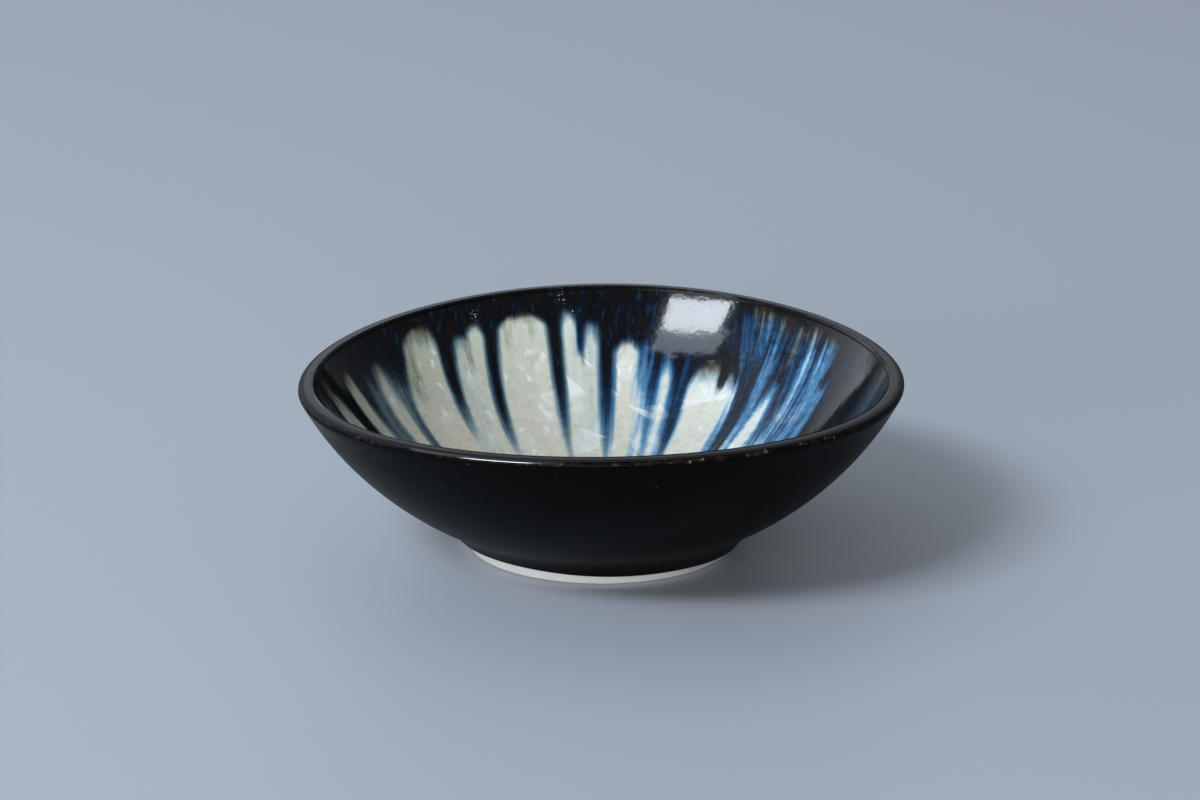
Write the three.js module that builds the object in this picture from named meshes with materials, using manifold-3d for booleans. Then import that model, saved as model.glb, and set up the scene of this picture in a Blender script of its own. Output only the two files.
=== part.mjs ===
// A wheel-thrown porcelain bowl on a turned foot.
// Satin black glaze covers the outside and the lip. Inside lies a cream liner glaze, and over it a
// dark collar glaze that has run down the wall in tongues, leaving round-topped cream fingers bare.
// Millimetres and degrees, +Z up. The foot ring stands on z = 0, centred on the Z axis.
import * as THREE from 'three';
import { mergeVertices } from 'three/addons/utils/BufferGeometryUtils.js';
import Module from 'manifold-3d';

// Thrown wall and well
const RIM_DIAMETER = 150.6; // over the glaze, to the lip's outer edge before it is rounded
const BOWL_HEIGHT = 44; // table to the lip's outer edge, before the rim settled
const WALL_THICKNESS = 4; // glazed face to glazed face
const FLOOR_THICKNESS = 4.8; // clay between the foot recess and the well
const WELL_RADIUS = 25; // sweep from the flat of the well up into the wall
const WALL_START = 29.6; // slope of the wall where it leaves the foot's cove
const LIP_SLOPE = 6; // the lip's land falls outwards
const LIP_OUTER_ROUND = 1; // rounding starts this far from the lip's outer edge
const LIP_INNER_ROUND = 0.35; // and this far from its inner edge
const LIP_ROUND_LIMIT = 0.8; // the most of the coat's thickness that the inner rounding takes up

// Turned foot
const FOOT_DIAMETER = 65.4; // bare clay where it meets the table
const FOOT_FLARE = 60; // slope of the foot's side at the table
const COVE_RADIUS = 26; // hollow between the foot and the wall
const FOOT_RING_WIDTH = 4.6;
const FOOT_RECESS_DEPTH = 3;
const FOOT_RECESS_DRAFT = 1; // the recess narrows upwards by this much
const FOOT_EDGE = 0.4; // softened outer edge of the ring

// Glaze coats
const OUTER_COAT = 0.5;
const LINER_COAT = 0.35;
const RUN_COAT = 0.35;
const FUSE_GAP = 0.12; // parting between one fired layer and the next
const GLAZE_LINE = 2.7; // bare clay left above the table
const GLAZE_LINE_TILT = 1.1; // the line sits higher on the left and lower on the right
const GLAZE_LINE_WAVE = 0.15;
const GLAZE_LINE_WAVES = 5;
const RUN_REACH = 46; // how far the runs reach down the wall from the lip

// How the soft rim settled in the firing: it leans, and rises at front and back like a saddle
const RIM_LEAN_X = 0.72;
const RIM_LEAN_Y = 1.17;
const RIM_SADDLE = 1.43;

// Cream fingers left between the dark runs, as bearing round the bowl from +X, distance of the tip
// below the lip, width under the tip and width at the foot of the runs.
const FINGERS = [
  [174, 9, 8, 8],
  [162.5, 8, 6, 6],
  [152, 10, 4.5, 4.5],
  [138.5, 6, 9, 12],
  [125, 9, 7, 5.6],
  [110.5, 7.5, 12, 12],
  [97.8, 7.5, 4.6, 3.6],
  [92.6, 10, 3.6, 1.9],
  [83.7, 15.5, 5, 4],
  [78.2, 22, 2.6, 1.6],
  [72.2, 20, 3.4, 3],
  [58.5, 21, 11.5, 11],
  [41, 19, 3.6, 4.5],
  [-14, 14, 5, 4],
  [-27, 11, 8, 7],
  [-42, 9, 9, 8],
  [-56.5, 12, 5, 4],
  [-68, 8, 9, 7],
  [-82, 10, 8, 6.5],
  [-95, 13, 5, 4],
  [-107, 8, 10, 8],
  [-122, 9, 9, 8],
  [-136, 12, 5, 4],
  [-148, 8, 9, 7],
  [-161, 11, 5, 4.4],
  [-173, 10, 6, 5],
];

// Facets
const COLUMNS = 72; // round the bowl
const WALL_ROWS = 6; // up the outer wall
const INNER_ROWS = 6; // down the inner wall
const COVE_ROWS = 3;
const WELL_ROWS = 2;
const EDGE_ROWS = 2;
const FINGER_ROWS = 4; // half of a finger's round tip

const { degToRad, lerp } = THREE.MathUtils;
const FULL_TURN = 2 * Math.PI;

// Point where an arc runs at a given slope; a negative radius gives the hollow side.
function arcPoint(centre, radius, slope) {
  return new THREE.Vector2(centre.x + radius * Math.sin(slope), centre.y - radius * Math.cos(slope));
}

function arcPoints(centre, radius, from, to, rows) {
  return Array.from({ length: rows + 1 }, (_, row) => arcPoint(centre, radius, lerp(from, to, row / rows)));
}

// Rounds the corner of a profile, starting a set distance before it and ending as far after it.
function roundedCorner(before, corner, after, distance) {
  const onTheWay = (end) => corner.clone().add(end.clone().sub(corner).setLength(distance));
  return new THREE.QuadraticBezierCurve(onTheWay(before), corner, onTheWay(after)).getPoints(EDGE_ROWS);
}

// Outer profile: the foot's hollow cove, then one arc for the wall that ends at the lip's edge.
const rimEdge = new THREE.Vector2(RIM_DIAMETER / 2, BOWL_HEIGHT);
const footRadius = FOOT_DIAMETER / 2;
const flare = degToRad(FOOT_FLARE);
const wallStart = degToRad(WALL_START);
const lipSlope = degToRad(LIP_SLOPE);
const outerSkin = OUTER_COAT + FUSE_GAP;

const coveCentre = arcPoint(new THREE.Vector2(footRadius, 0), COVE_RADIUS, flare);
const coveEnd = arcPoint(coveCentre, -COVE_RADIUS, wallStart);
const toRim = rimEdge.clone().sub(coveEnd);
const rimRise = toRim.dot(new THREE.Vector2(-Math.sin(wallStart), Math.cos(wallStart)));
const clayOuter = (toRim.lengthSq() - outerSkin ** 2) / (2 * (rimRise + outerSkin));
const wallCentre = arcPoint(coveEnd, -clayOuter, wallStart);

// Radii of the layers about the wall's centre, from the outside in.
const glazeFree = clayOuter + outerSkin;
const glazeBonded = clayOuter + FUSE_GAP;
const runFree = glazeFree - WALL_THICKNESS;
const runBonded = runFree + RUN_COAT;
const linerFree = runBonded + FUSE_GAP;
const linerBonded = linerFree + LINER_COAT;
const clayInner = linerBonded + FUSE_GAP;

// Slope of a layer's arc where it meets the lip's land, or a line that far under the land.
const landNormal = new THREE.Vector2(Math.sin(lipSlope), Math.cos(lipSlope));
const landHeight = rimEdge.clone().sub(wallCentre).dot(landNormal);
function lipSlopeAt(radius, under) {
  return Math.acos((under - landHeight) / radius) - lipSlope;
}
function lipPoint(radius, under) {
  return arcPoint(wallCentre, radius, lipSlopeAt(radius, under));
}

// Inner profile: the wall's arc, the sweep of the well and its flat floor.
const floorHeight = FOOT_RECESS_DEPTH + FLOOR_THICKNESS;
const wellRise = wallCentre.y - floorHeight - WELL_RADIUS;
const wellCentre = new THREE.Vector2(
  wallCentre.x + Math.sqrt((clayInner - WELL_RADIUS) ** 2 - wellRise ** 2),
  floorHeight + WELL_RADIUS,
);
const wellSlope = Math.acos(wellRise / (clayInner - WELL_RADIUS));
const innerLip = lipSlopeAt(clayInner, outerSkin);
const wallRun = (innerLip - wellSlope) * clayInner;
const wellRun = wellSlope * WELL_RADIUS;

// Point of an inside layer, by the distance down the clay's inner face from the lip.
function insidePoint(radius, distance) {
  const proud = clayInner - radius;
  if (distance <= wallRun) {
    return arcPoint(wallCentre, radius, innerLip - distance / clayInner);
  }
  if (distance <= wallRun + wellRun) {
    return arcPoint(wellCentre, WELL_RADIUS - proud, wellSlope - (distance - wallRun) / WELL_RADIUS);
  }
  return new THREE.Vector2(wellCentre.x + wallRun + wellRun - distance, floorHeight + proud);
}

// Distance at which a layer's top edge clears the glaze on the lip.
function lipDistance(radius) {
  return (innerLip - lipSlopeAt(radius, outerSkin)) * clayInner;
}

// Profile of an inside layer from the lip to the middle of the floor.
function insideProfile(radius) {
  const wall = Array.from({ length: INNER_ROWS + 1 }, (_, row) =>
    insidePoint(radius, lerp(lipDistance(radius), wallRun, row / INNER_ROWS)));
  const well = Array.from({ length: WELL_ROWS }, (_, row) =>
    insidePoint(radius, wallRun + (wellRun * (row + 1)) / WELL_ROWS));
  return [...wall, ...well, insidePoint(radius, wallRun + wellRun + wellCentre.x)];
}

function revolve(profile) {
  return new THREE.LatheGeometry(profile, COLUMNS).rotateX(Math.PI / 2);
}

// Closed band round the Z axis whose cross-section may change with the bearing.
function band(sectionAt) {
  const positions = [];
  const indices = [];
  for (let column = 0; column < COLUMNS; column += 1) {
    const bearing = (column / COLUMNS) * FULL_TURN;
    const section = sectionAt(bearing);
    const next = (column + 1) % COLUMNS;
    section.forEach((point, index) => {
      const after = (index + 1) % section.length;
      const here = [column * section.length + index, column * section.length + after];
      const there = [next * section.length + index, next * section.length + after];
      positions.push(point.x * Math.cos(bearing), point.x * Math.sin(bearing), point.y);
      indices.push(here[0], there[0], there[1], here[0], there[1], here[1]);
    });
  }
  const geometry = new THREE.BufferGeometry();
  geometry.setAttribute('position', new THREE.Float32BufferAttribute(positions, 3));
  geometry.setIndex(indices);
  return geometry;
}

// Thrown clay: recess, foot ring, cove, wall, lip, inner wall and well, as one profile.
function clayGeometry() {
  const ringInner = footRadius - FOOT_RING_WIDTH;
  const edgeSlope = Math.acos((FOOT_EDGE - coveCentre.y) / COVE_RADIUS);
  return revolve([
    new THREE.Vector2(0, FOOT_RECESS_DEPTH),
    new THREE.Vector2(ringInner - FOOT_RECESS_DRAFT, FOOT_RECESS_DEPTH),
    new THREE.Vector2(ringInner, 0),
    new THREE.Vector2(footRadius - FOOT_EDGE, 0),
    ...arcPoints(coveCentre, -COVE_RADIUS, edgeSlope, wallStart, COVE_ROWS),
    ...arcPoints(wallCentre, clayOuter, wallStart, lipSlopeAt(clayOuter, outerSkin), WALL_ROWS).slice(1),
    ...insideProfile(clayInner),
  ]);
}

// Height of the wavy edge where the black glaze was wiped off the foot.
function glazeLineAt(bearing) {
  const tilt = -GLAZE_LINE_TILT * Math.cos(bearing);
  return GLAZE_LINE + tilt + GLAZE_LINE_WAVE * Math.sin(GLAZE_LINE_WAVES * bearing);
}

// Black coat from the glaze line up the outside and over the lip to its inner edge.
function outerGlazeGeometry() {
  const outerEdge = lipPoint(glazeFree, 0);
  const innerEdge = lipPoint(runFree, 0);
  const innerUnder = lipPoint(runFree, OUTER_COAT);
  const innerRound = Math.min(LIP_INNER_ROUND, LIP_ROUND_LIMIT * OUTER_COAT);
  const freeTop = lipSlopeAt(glazeFree, 0) - LIP_OUTER_ROUND / glazeFree;
  const freeWall = arcPoints(wallCentre, glazeFree, wallStart, freeTop, WALL_ROWS);
  const lip = [
    ...roundedCorner(freeWall.at(-1), outerEdge, innerEdge, LIP_OUTER_ROUND),
    ...roundedCorner(outerEdge, innerEdge, innerUnder, innerRound),
    innerUnder,
  ];
  const bondedTop = lipSlopeAt(glazeBonded, OUTER_COAT);
  const bondedWall = arcPoints(wallCentre, glazeBonded, bondedTop, wallStart, WALL_ROWS);
  const cove = (radius, lineHeight) => {
    const lineSlope = Math.acos((lineHeight - coveCentre.y) / radius);
    return arcPoints(coveCentre, -radius, lineSlope, wallStart, COVE_ROWS - 1).slice(0, -1);
  };
  return band((bearing) => {
    const lineHeight = glazeLineAt(bearing);
    return [
      ...cove(COVE_RADIUS - outerSkin, lineHeight),
      ...freeWall.slice(0, -1),
      ...lip,
      ...bondedWall,
      ...cove(COVE_RADIUS - FUSE_GAP, lineHeight).reverse(),
    ];
  });
}

// Cream coat over the whole inside, bonded to the clay.
function linerGeometry() {
  return revolve([...insideProfile(linerBonded).reverse(), ...insideProfile(linerFree)]);
}

const wasm = await Module();
wasm.setup();

function toSolid(geometry) {
  const bare = geometry.clone();
  bare.deleteAttribute('normal');
  bare.deleteAttribute('uv');
  const merged = mergeVertices(bare);
  return new wasm.Manifold(new wasm.Mesh({
    numProp: 3,
    vertProperties: new Float32Array(merged.attributes.position.array),
    triVerts: new Uint32Array(merged.index.array),
  }));
}

function toGeometry(solid) {
  const mesh = solid.getMesh();
  const geometry = new THREE.BufferGeometry();
  geometry.setAttribute('position', new THREE.BufferAttribute(mesh.vertProperties, 3));
  geometry.setIndex(new THREE.BufferAttribute(mesh.triVerts, 1));
  return geometry;
}

// Round-topped finger, pushed outwards through the wall at its bearing.
function fingerGeometry([bearing, tip, tipWidth, footWidth]) {
  const tipHeight = insidePoint(runFree, tip).y;
  const shoulder = tipHeight - tipWidth / 2;
  const outline = new THREE.Shape();
  outline.moveTo(-footWidth / 2, 0);
  outline.lineTo(footWidth / 2, 0);
  outline.lineTo(tipWidth / 2, shoulder);
  outline.absarc(0, shoulder, tipWidth / 2, 0, Math.PI, false);
  outline.closePath();
  const geometry = new THREE.ExtrudeGeometry(outline, {
    depth: RIM_DIAMETER / 2,
    bevelEnabled: false,
    curveSegments: FINGER_ROWS,
  });
  const angle = degToRad(bearing);
  const outwards = new THREE.Vector3(Math.cos(angle), Math.sin(angle), 0);
  const sideways = new THREE.Vector3(-Math.sin(angle), Math.cos(angle), 0);
  const upwards = new THREE.Vector3(0, 0, 1);
  return geometry.applyMatrix4(new THREE.Matrix4().makeBasis(sideways, upwards, outwards));
}

// Dark coat over the liner: a full collar from the lip, cut away where the fingers lie bare.
function rimRunGeometry() {
  const rows = (radius) => Array.from({ length: INNER_ROWS + 1 }, (_, row) =>
    insidePoint(radius, lerp(lipDistance(radius), RUN_REACH, row / INNER_ROWS)));
  const free = rows(runFree);
  const section = [...rows(runBonded).reverse(), ...free];
  let collar = toSolid(revolve([...section, section[0]]));
  for (const finger of FINGERS) {
    collar = collar.subtract(toSolid(fingerGeometry(finger)));
  }
  return toGeometry(collar);
}

// Lean and saddle of the settled rim, growing from nothing at the table.
function settle(geometry) {
  const place = geometry.attributes.position;
  const rimRadius = RIM_DIAMETER / 2;
  for (let index = 0; index < place.count; index += 1) {
    const x = place.getX(index) / rimRadius;
    const y = place.getY(index) / rimRadius;
    const height = place.getZ(index);
    const drift = RIM_LEAN_X * x + RIM_LEAN_Y * y + RIM_SADDLE * (y * y - x * x);
    place.setZ(index, height + (drift * height) / BOWL_HEIGHT);
  }
  geometry.computeVertexNormals();
  return geometry;
}

function layer(name, geometry, color, roughness) {
  const material = new THREE.MeshStandardMaterial({ color, roughness, metalness: 0 });
  const mesh = new THREE.Mesh(settle(geometry), material);
  mesh.name = name;
  return mesh;
}

const bowl = new THREE.Group();
bowl.name = 'bowl';
bowl.add(
  layer('porcelain_body', clayGeometry(), 0xe9e7e2, 0.7),
  layer('outer_glaze', outerGlazeGeometry(), 0x0b0c0e, 0.38),
  layer('liner_glaze', linerGeometry(), 0xcdc6b0, 0.12),
  layer('rim_run_glaze', rimRunGeometry(), 0x10182c, 0.12),
);

export default bowl;
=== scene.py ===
"""A wheel-thrown porcelain bowl on a turned foot, dressed as it came out of the kiln.

The clay is bare and white at the foot. Satin black glaze covers the outside and the lip. Inside, a dark
collar glaze has run down in tongues over a cream glaze full of fine crystals. Sizes in the classes are
millimetres and degrees. The meshes are metres, stand on z = 0, and have +X to the right and +Y to the
back, so that a bearing of 90 is the back of the bowl and 180 its left.
"""
import logging
import math
from dataclasses import dataclass, field
from enum import Enum, IntEnum
from functools import cached_property, reduce
from typing import ClassVar, Sequence, Union

import bpy
import numpy as np
from bpy.types import Material, Mesh, Node, NodeSocket, Object, World, bpy_prop_collection
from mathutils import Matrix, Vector


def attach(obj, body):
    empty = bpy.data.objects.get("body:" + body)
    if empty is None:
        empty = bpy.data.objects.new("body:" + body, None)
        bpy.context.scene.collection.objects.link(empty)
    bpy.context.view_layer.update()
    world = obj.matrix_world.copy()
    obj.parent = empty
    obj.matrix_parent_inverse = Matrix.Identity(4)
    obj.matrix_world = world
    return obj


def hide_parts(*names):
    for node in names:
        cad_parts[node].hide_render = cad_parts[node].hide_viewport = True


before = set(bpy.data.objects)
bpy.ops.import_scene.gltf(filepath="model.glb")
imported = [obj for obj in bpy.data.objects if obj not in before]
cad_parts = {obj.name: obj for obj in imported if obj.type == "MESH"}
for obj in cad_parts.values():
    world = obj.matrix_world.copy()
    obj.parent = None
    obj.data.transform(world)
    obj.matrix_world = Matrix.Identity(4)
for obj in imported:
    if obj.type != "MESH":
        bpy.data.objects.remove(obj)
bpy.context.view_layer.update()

log = logging.getLogger("bowl")

MM = 0.001
MERGE_DISTANCE = 1e-6

Value = Union[float, str, Sequence[float], NodeSocket]
Span = tuple[float, float]
Steps = tuple[float, float, float, float]
Table = tuple[Span, ...]
Stops = tuple[tuple[float, str], ...]


def screen_colour(code: str) -> tuple[float, float, float, float]:
    """Turns a colour as it looks on a screen into the linear one that a shader takes.

    Args:
        code: The colour as # and six hexadecimal digits.

    Returns:
        Linear red, green and blue, and an alpha of 1.
    """
    channels = [int(code[start:start + 2], 16) / 255 for start in (1, 3, 5)]
    linear = [c / 12.92 if c <= 0.04045 else ((c + 0.055) / 1.055) ** 2.4 for c in channels]
    return (*linear, 1.0)


def ease(low: float, high: float, value: np.ndarray) -> np.ndarray:
    """Smooth step from 0 at low to 1 at high; low may be the larger of the two."""
    share = np.clip((value - low) / (high - low), 0.0, 1.0)
    return share * share * (3 - 2 * share)


def turn(start: np.ndarray, end: np.ndarray) -> np.ndarray:
    """Degrees from one bearing to another, from -180 to 180."""
    return (end - start + 180) % 360 - 180


def spaced(start: float, end: float, steps: int) -> list[float]:
    """Evenly spaced values from start to end, both included."""
    return [start + (end - start) * row / steps for row in range(steps + 1)]


def arc_point(centre: Vector, radius: float, slope: float) -> Vector:
    """Point where an arc runs at a slope in radians; a negative radius gives its hollow side."""
    return Vector((centre.x + radius * math.sin(slope), centre.y - radius * math.cos(slope)))


def arc_points(centre: Vector, radius: float, slopes: Sequence[float]) -> list[Vector]:
    """Points of an arc at several slopes."""
    return [arc_point(centre, radius, slope) for slope in slopes]


def read(items: bpy_prop_collection, key: str, kind: type = float, width: int = 1) -> np.ndarray:
    """Reads one property of every item of a collection.

    Args:
        items: The collection.
        key: Name of the property.
        kind: Type of the numbers.
        width: How many numbers an item has.

    Returns:
        The numbers, with a row for each item where it has several.
    """
    values = np.empty(len(items) * width, np.float32 if kind is float else np.int32)
    items.foreach_get(key, values)
    return (values.reshape(-1, width) if width > 1 else values).astype(kind)


@dataclass(frozen=True)
class BowlForm:
    """The thrown form and its coats, with the arcs that follow from their sizes."""

    rim_diameter: float = 150.6
    height: float = 44.0
    wall: float = 4.0
    floor: float = 4.8
    well_radius: float = 25.0
    wall_start: float = 29.6
    lip_slope: float = 6.0
    foot_diameter: float = 65.4
    foot_flare: float = 60.0
    cove_radius: float = 26.0
    foot_ring: float = 4.6
    recess_depth: float = 3.0
    recess_draft: float = 1.0
    foot_edge: float = 0.4
    outer_coat: float = 0.5
    liner_coat: float = 0.35
    run_coat: float = 0.35
    fuse_gap: float = 0.12
    glaze_line: float = 2.7
    glaze_line_tilt: float = 1.1
    glaze_line_wave: float = 0.15
    glaze_line_waves: int = 5
    lean_x: float = 0.72
    lean_y: float = 1.17
    saddle: float = 1.43

    @cached_property
    def start_slope(self) -> float:
        """Slope in radians where the wall leaves the cove."""
        return math.radians(self.wall_start)

    @cached_property
    def skin(self) -> float:
        """Distance from the clay to the black glaze's face."""
        return self.outer_coat + self.fuse_gap

    @cached_property
    def cove_centre(self) -> Vector:
        """Centre of the hollow between foot and wall."""
        foot = Vector((self.foot_diameter / 2, 0.0))
        return arc_point(foot, self.cove_radius, math.radians(self.foot_flare))

    @cached_property
    def cove_end(self) -> Vector:
        """Where the cove passes into the wall."""
        return arc_point(self.cove_centre, -self.cove_radius, self.start_slope)

    @cached_property
    def rim_edge(self) -> Vector:
        """Outer edge of the lip before it is rounded."""
        return Vector((self.rim_diameter / 2, self.height))

    @cached_property
    def clay_outer(self) -> float:
        """Radius of the clay's outer wall.

        Returns:
            The radius with which the glaze over it meets the lip's edge.
        """
        to_rim = self.rim_edge - self.cove_end
        across = Vector((-math.sin(self.start_slope), math.cos(self.start_slope)))
        rise = to_rim.dot(across)
        return (to_rim.length_squared - self.skin ** 2) / (2 * (rise + self.skin))

    @cached_property
    def wall_centre(self) -> Vector:
        """Centre that all layers of the wall share."""
        return arc_point(self.cove_end, -self.clay_outer, self.start_slope)

    @cached_property
    def glaze_free(self) -> float:
        """Radius of the black glaze's face."""
        return self.clay_outer + self.skin

    @cached_property
    def run_free(self) -> float:
        """Radius of the face of the dark runs inside."""
        return self.glaze_free - self.wall

    @cached_property
    def liner_free(self) -> float:
        """Radius of the cream glaze's face."""
        return self.run_free + self.run_coat + self.fuse_gap

    @cached_property
    def clay_inner(self) -> float:
        """Radius of the clay's inner wall."""
        return self.liner_free + self.liner_coat + self.fuse_gap

    @cached_property
    def land_height(self) -> float:
        """Height of the lip's land over the wall's centre, square to the land."""
        slope = math.radians(self.lip_slope)
        return (self.rim_edge - self.wall_centre).dot(Vector((math.sin(slope), math.cos(slope))))

    @cached_property
    def floor_height(self) -> float:
        """Height of the clay in the well."""
        return self.recess_depth + self.floor

    @cached_property
    def well_rise(self) -> float:
        """Height of the wall's centre over the centre of the well's sweep."""
        return self.wall_centre.y - self.floor_height - self.well_radius

    @cached_property
    def well_centre(self) -> Vector:
        """Centre of the sweep from the well into the wall."""
        reach = math.sqrt((self.clay_inner - self.well_radius) ** 2 - self.well_rise ** 2)
        return Vector((self.wall_centre.x + reach, self.floor_height + self.well_radius))

    @cached_property
    def well_slope(self) -> float:
        """Slope in radians where the wall passes into the well's sweep."""
        return math.acos(self.well_rise / (self.clay_inner - self.well_radius))

    @cached_property
    def inner_lip(self) -> float:
        """Slope in radians of the clay's inner wall at its top."""
        return self.lip_slope_at(self.clay_inner, self.skin)

    @cached_property
    def wall_run(self) -> float:
        """Length of the inner wall down to the well's sweep."""
        return (self.inner_lip - self.well_slope) * self.clay_inner

    @cached_property
    def well_run(self) -> float:
        """Length of the well's sweep."""
        return self.well_slope * self.well_radius

    @cached_property
    def whole_run(self) -> float:
        """Length of the inside from the lip to the middle of the floor."""
        return self.wall_run + self.well_run + self.well_centre.x

    def lip_slope_at(self, radius: float, under: float) -> float:
        """Slope in radians of a layer of some radius, at a distance under the lip's land."""
        return math.acos((under - self.land_height) / radius) - math.radians(self.lip_slope)

    def lip_point(self, radius: float, under: float) -> Vector:
        """Point of a layer of some radius, at a distance under the lip's land."""
        return arc_point(self.wall_centre, radius, self.lip_slope_at(radius, under))

    def inside_point(self, radius: float, run: float) -> Vector:
        """Point of an inside layer by the distance down the clay from the lip.

        Args:
            radius: Radius of the layer on the wall.
            run: Distance down the clay's inner face.

        Returns:
            The point, as radius from the axis and height.
        """
        proud = self.clay_inner - radius
        if run <= self.wall_run:
            return arc_point(self.wall_centre, radius, self.inner_lip - run / self.clay_inner)
        if run <= self.wall_run + self.well_run:
            slope = self.well_slope - (run - self.wall_run) / self.well_radius
            return arc_point(self.well_centre, self.well_radius - proud, slope)
        return Vector((self.whole_run - run, self.floor_height + proud))

    def settle(self, places: np.ndarray) -> np.ndarray:
        """Leans and saddles the soft rim as it settled in the firing.

        Args:
            places: Points in millimetres.

        Returns:
            The settled points.
        """
        across = places[:, 0] / (self.rim_diameter / 2)
        back = places[:, 1] / (self.rim_diameter / 2)
        drift = self.lean_x * across + self.lean_y * back + self.saddle * (back ** 2 - across ** 2)
        settled = places.copy()
        settled[:, 2] += drift * places[:, 2] / self.height
        return settled


@dataclass(frozen=True)
class Station:
    """One point of a turned profile.

    Attributes:
        place: Radius from the axis and height.
        run: Distance along the face, by which its pattern is laid out.
        free: 1 on a face that shows and 0 on one bonded to the layer under it.
    """

    place: Vector
    run: float = 0.0
    free: float = 1.0


class NodeBench:
    """Lays out and wires the nodes of a material or of the sky."""

    def __init__(self, owner: Material | World, shader: str, output: str) -> None:
        """Starts with a shader and an output alone.

        Args:
            owner: What the nodes belong to.
            shader: Blender's name for the shader's type.
            output: Blender's name for the output's type.
        """
        owner.use_nodes = True
        self.owner = owner
        self.tree = owner.node_tree
        self.tree.nodes.clear()
        self.shader = self.node(shader)
        self.node(output, {"Surface": self.shader.outputs[0]})

    @classmethod
    def for_material(cls, name: str) -> "NodeBench":
        """Starts a new material of that name."""
        return cls(bpy.data.materials.new(name), "ShaderNodeBsdfPrincipled", "ShaderNodeOutputMaterial")

    @cached_property
    def place(self) -> NodeSocket:
        """Place on the piece in millimetres."""
        return self.vector("SCALE", self.node("ShaderNodeTexCoord").outputs["Object"], 1 / MM)

    def node(self, kind: str, inputs: dict | None = None, **settings: object) -> Node:
        """Adds a node.

        Args:
            kind: Blender's name for the node's type.
            inputs: Value or socket for each input, by name or number.
            **settings: Properties of the node.

        Returns:
            The new node.
        """
        made = self.tree.nodes.new(kind)
        for key, value in settings.items():
            setattr(made, key, value)
        for key, value in (inputs or {}).items():
            self.feed(made.inputs[key], value)
        return made

    def feed(self, socket: NodeSocket, value: Value) -> None:
        """Links an input to a socket, or sets its own value, which may be a colour's code.

        Args:
            socket: The input.
            value: What it gets.
        """
        if isinstance(value, NodeSocket):
            self.tree.links.new(value, socket)
        else:
            socket.default_value = screen_colour(value) if isinstance(value, str) else value

    def set_shader(self, **inputs: Value) -> None:
        """Sets the shader's inputs, with underscores for the spaces in their names."""
        for key, value in inputs.items():
            self.feed(self.shader.inputs[key.replace("_", " ")], value)

    def math(self, operation: str, *values: Value, clamp: bool = False) -> NodeSocket:
        """Blender's operation of that name on one to three numbers, held from 0 to 1 if clamp is set."""
        made = self.node("ShaderNodeMath", dict(enumerate(values)), operation=operation, use_clamp=clamp)
        return made.outputs[0]

    def add(self, *values: Value) -> NodeSocket:
        """Sum of two or more numbers."""
        return reduce(lambda total, value: self.math("ADD", total, value), values)

    def times(self, *values: Value) -> NodeSocket:
        """Product of two or more numbers."""
        return reduce(lambda total, value: self.math("MULTIPLY", total, value), values)

    def vector(self, operation: str, first: Value, second: Value = (0.0, 0.0, 0.0)) -> NodeSocket:
        """Blender's operation of that name on one or two vectors.

        Args:
            operation: Blender's name for it; SCALE takes a number second.
            first: First vector.
            second: Second vector, or the scale.

        Returns:
            The result, a number for LENGTH and DOT_PRODUCT.
        """
        made = self.node("ShaderNodeVectorMath", {0: first}, operation=operation)
        self.feed(made.inputs["Scale" if operation == "SCALE" else 1], second)
        return made.outputs["Value" if operation in ("LENGTH", "DOT_PRODUCT") else "Vector"]

    def step(self, value: Value, low: float, high: float, start: float = 0.0, end: float = 1.0) -> NodeSocket:
        """Smooth step of a value, from start at low to end at high, and held beyond them."""
        inputs = {0: value, 1: low, 2: high, 3: start, 4: end}
        return self.node("ShaderNodeMapRange", inputs, interpolation_type="SMOOTHSTEP").outputs[0]

    def blend(self, share: Value, first: Value, second: Value) -> NodeSocket:
        """Mix of two colours, with a share of the second."""
        inputs = {0: share, 6: first, 7: second}
        return self.node("ShaderNodeMix", inputs, data_type="RGBA", blend_type="MIX").outputs[2]

    def ramp(self, share: Value, stops: Sequence[tuple[float, Value]]) -> NodeSocket:
        """Colour that changes with a value.

        Args:
            share: The value, from 0 to 1.
            stops: Places along it and their colours, as codes or as linear values.

        Returns:
            The colour.
        """
        made = self.node("ShaderNodeValToRGB", {0: share})
        elements = made.color_ramp.elements
        while len(elements) < len(stops):
            elements.new(0.5)
        for element, (place, colour) in zip(elements, stops):
            element.position = place
            element.color = screen_colour(colour) if isinstance(colour, str) else colour
        return made.outputs["Color"]

    def noise(self, vector: Value, scale: float, detail: float = 2.0) -> NodeSocket:
        """Noise stretched to about -1 to 1, with a scale in cells to a unit."""
        made = self.node("ShaderNodeTexNoise", {"Vector": vector, "Scale": scale, "Detail": detail})
        return self.math("MULTIPLY_ADD", made.outputs[0], 4.0, -2.0)

    def cells(self, vector: Value, scale: float) -> Node:
        """Texture of scattered cells, with a scale in cells to a unit."""
        return self.node("ShaderNodeTexVoronoi", {"Vector": vector, "Scale": scale})

    def chance(self, cells: Node, channel: int) -> NodeSocket:
        """One of the three numbers from 0 to 1 that each cell has by chance."""
        return self.node("ShaderNodeSeparateColor", {0: cells.outputs["Color"]}).outputs[channel]

    def attribute(self, name: str, vector: bool = False) -> NodeSocket:
        """Number, or vector, that the mesh carries under a name."""
        made = self.node("ShaderNodeAttribute", attribute_name=name)
        return made.outputs["Vector" if vector else "Fac"]

    def dents(self, height: Value, depth_mm: float, normal: Value | None = None) -> NodeSocket:
        """Fine relief of the surface.

        Args:
            height: Height from 0 to 1.
            depth_mm: What a height of 1 stands for.
            normal: Relief that this one adds to.

        Returns:
            The surface's normal.
        """
        inputs = {"Height": height, "Distance": depth_mm * MM, "Strength": 1.0}
        if normal is not None:
            inputs["Normal"] = normal
        return self.node("ShaderNodeBump", inputs).outputs["Normal"]


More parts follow.
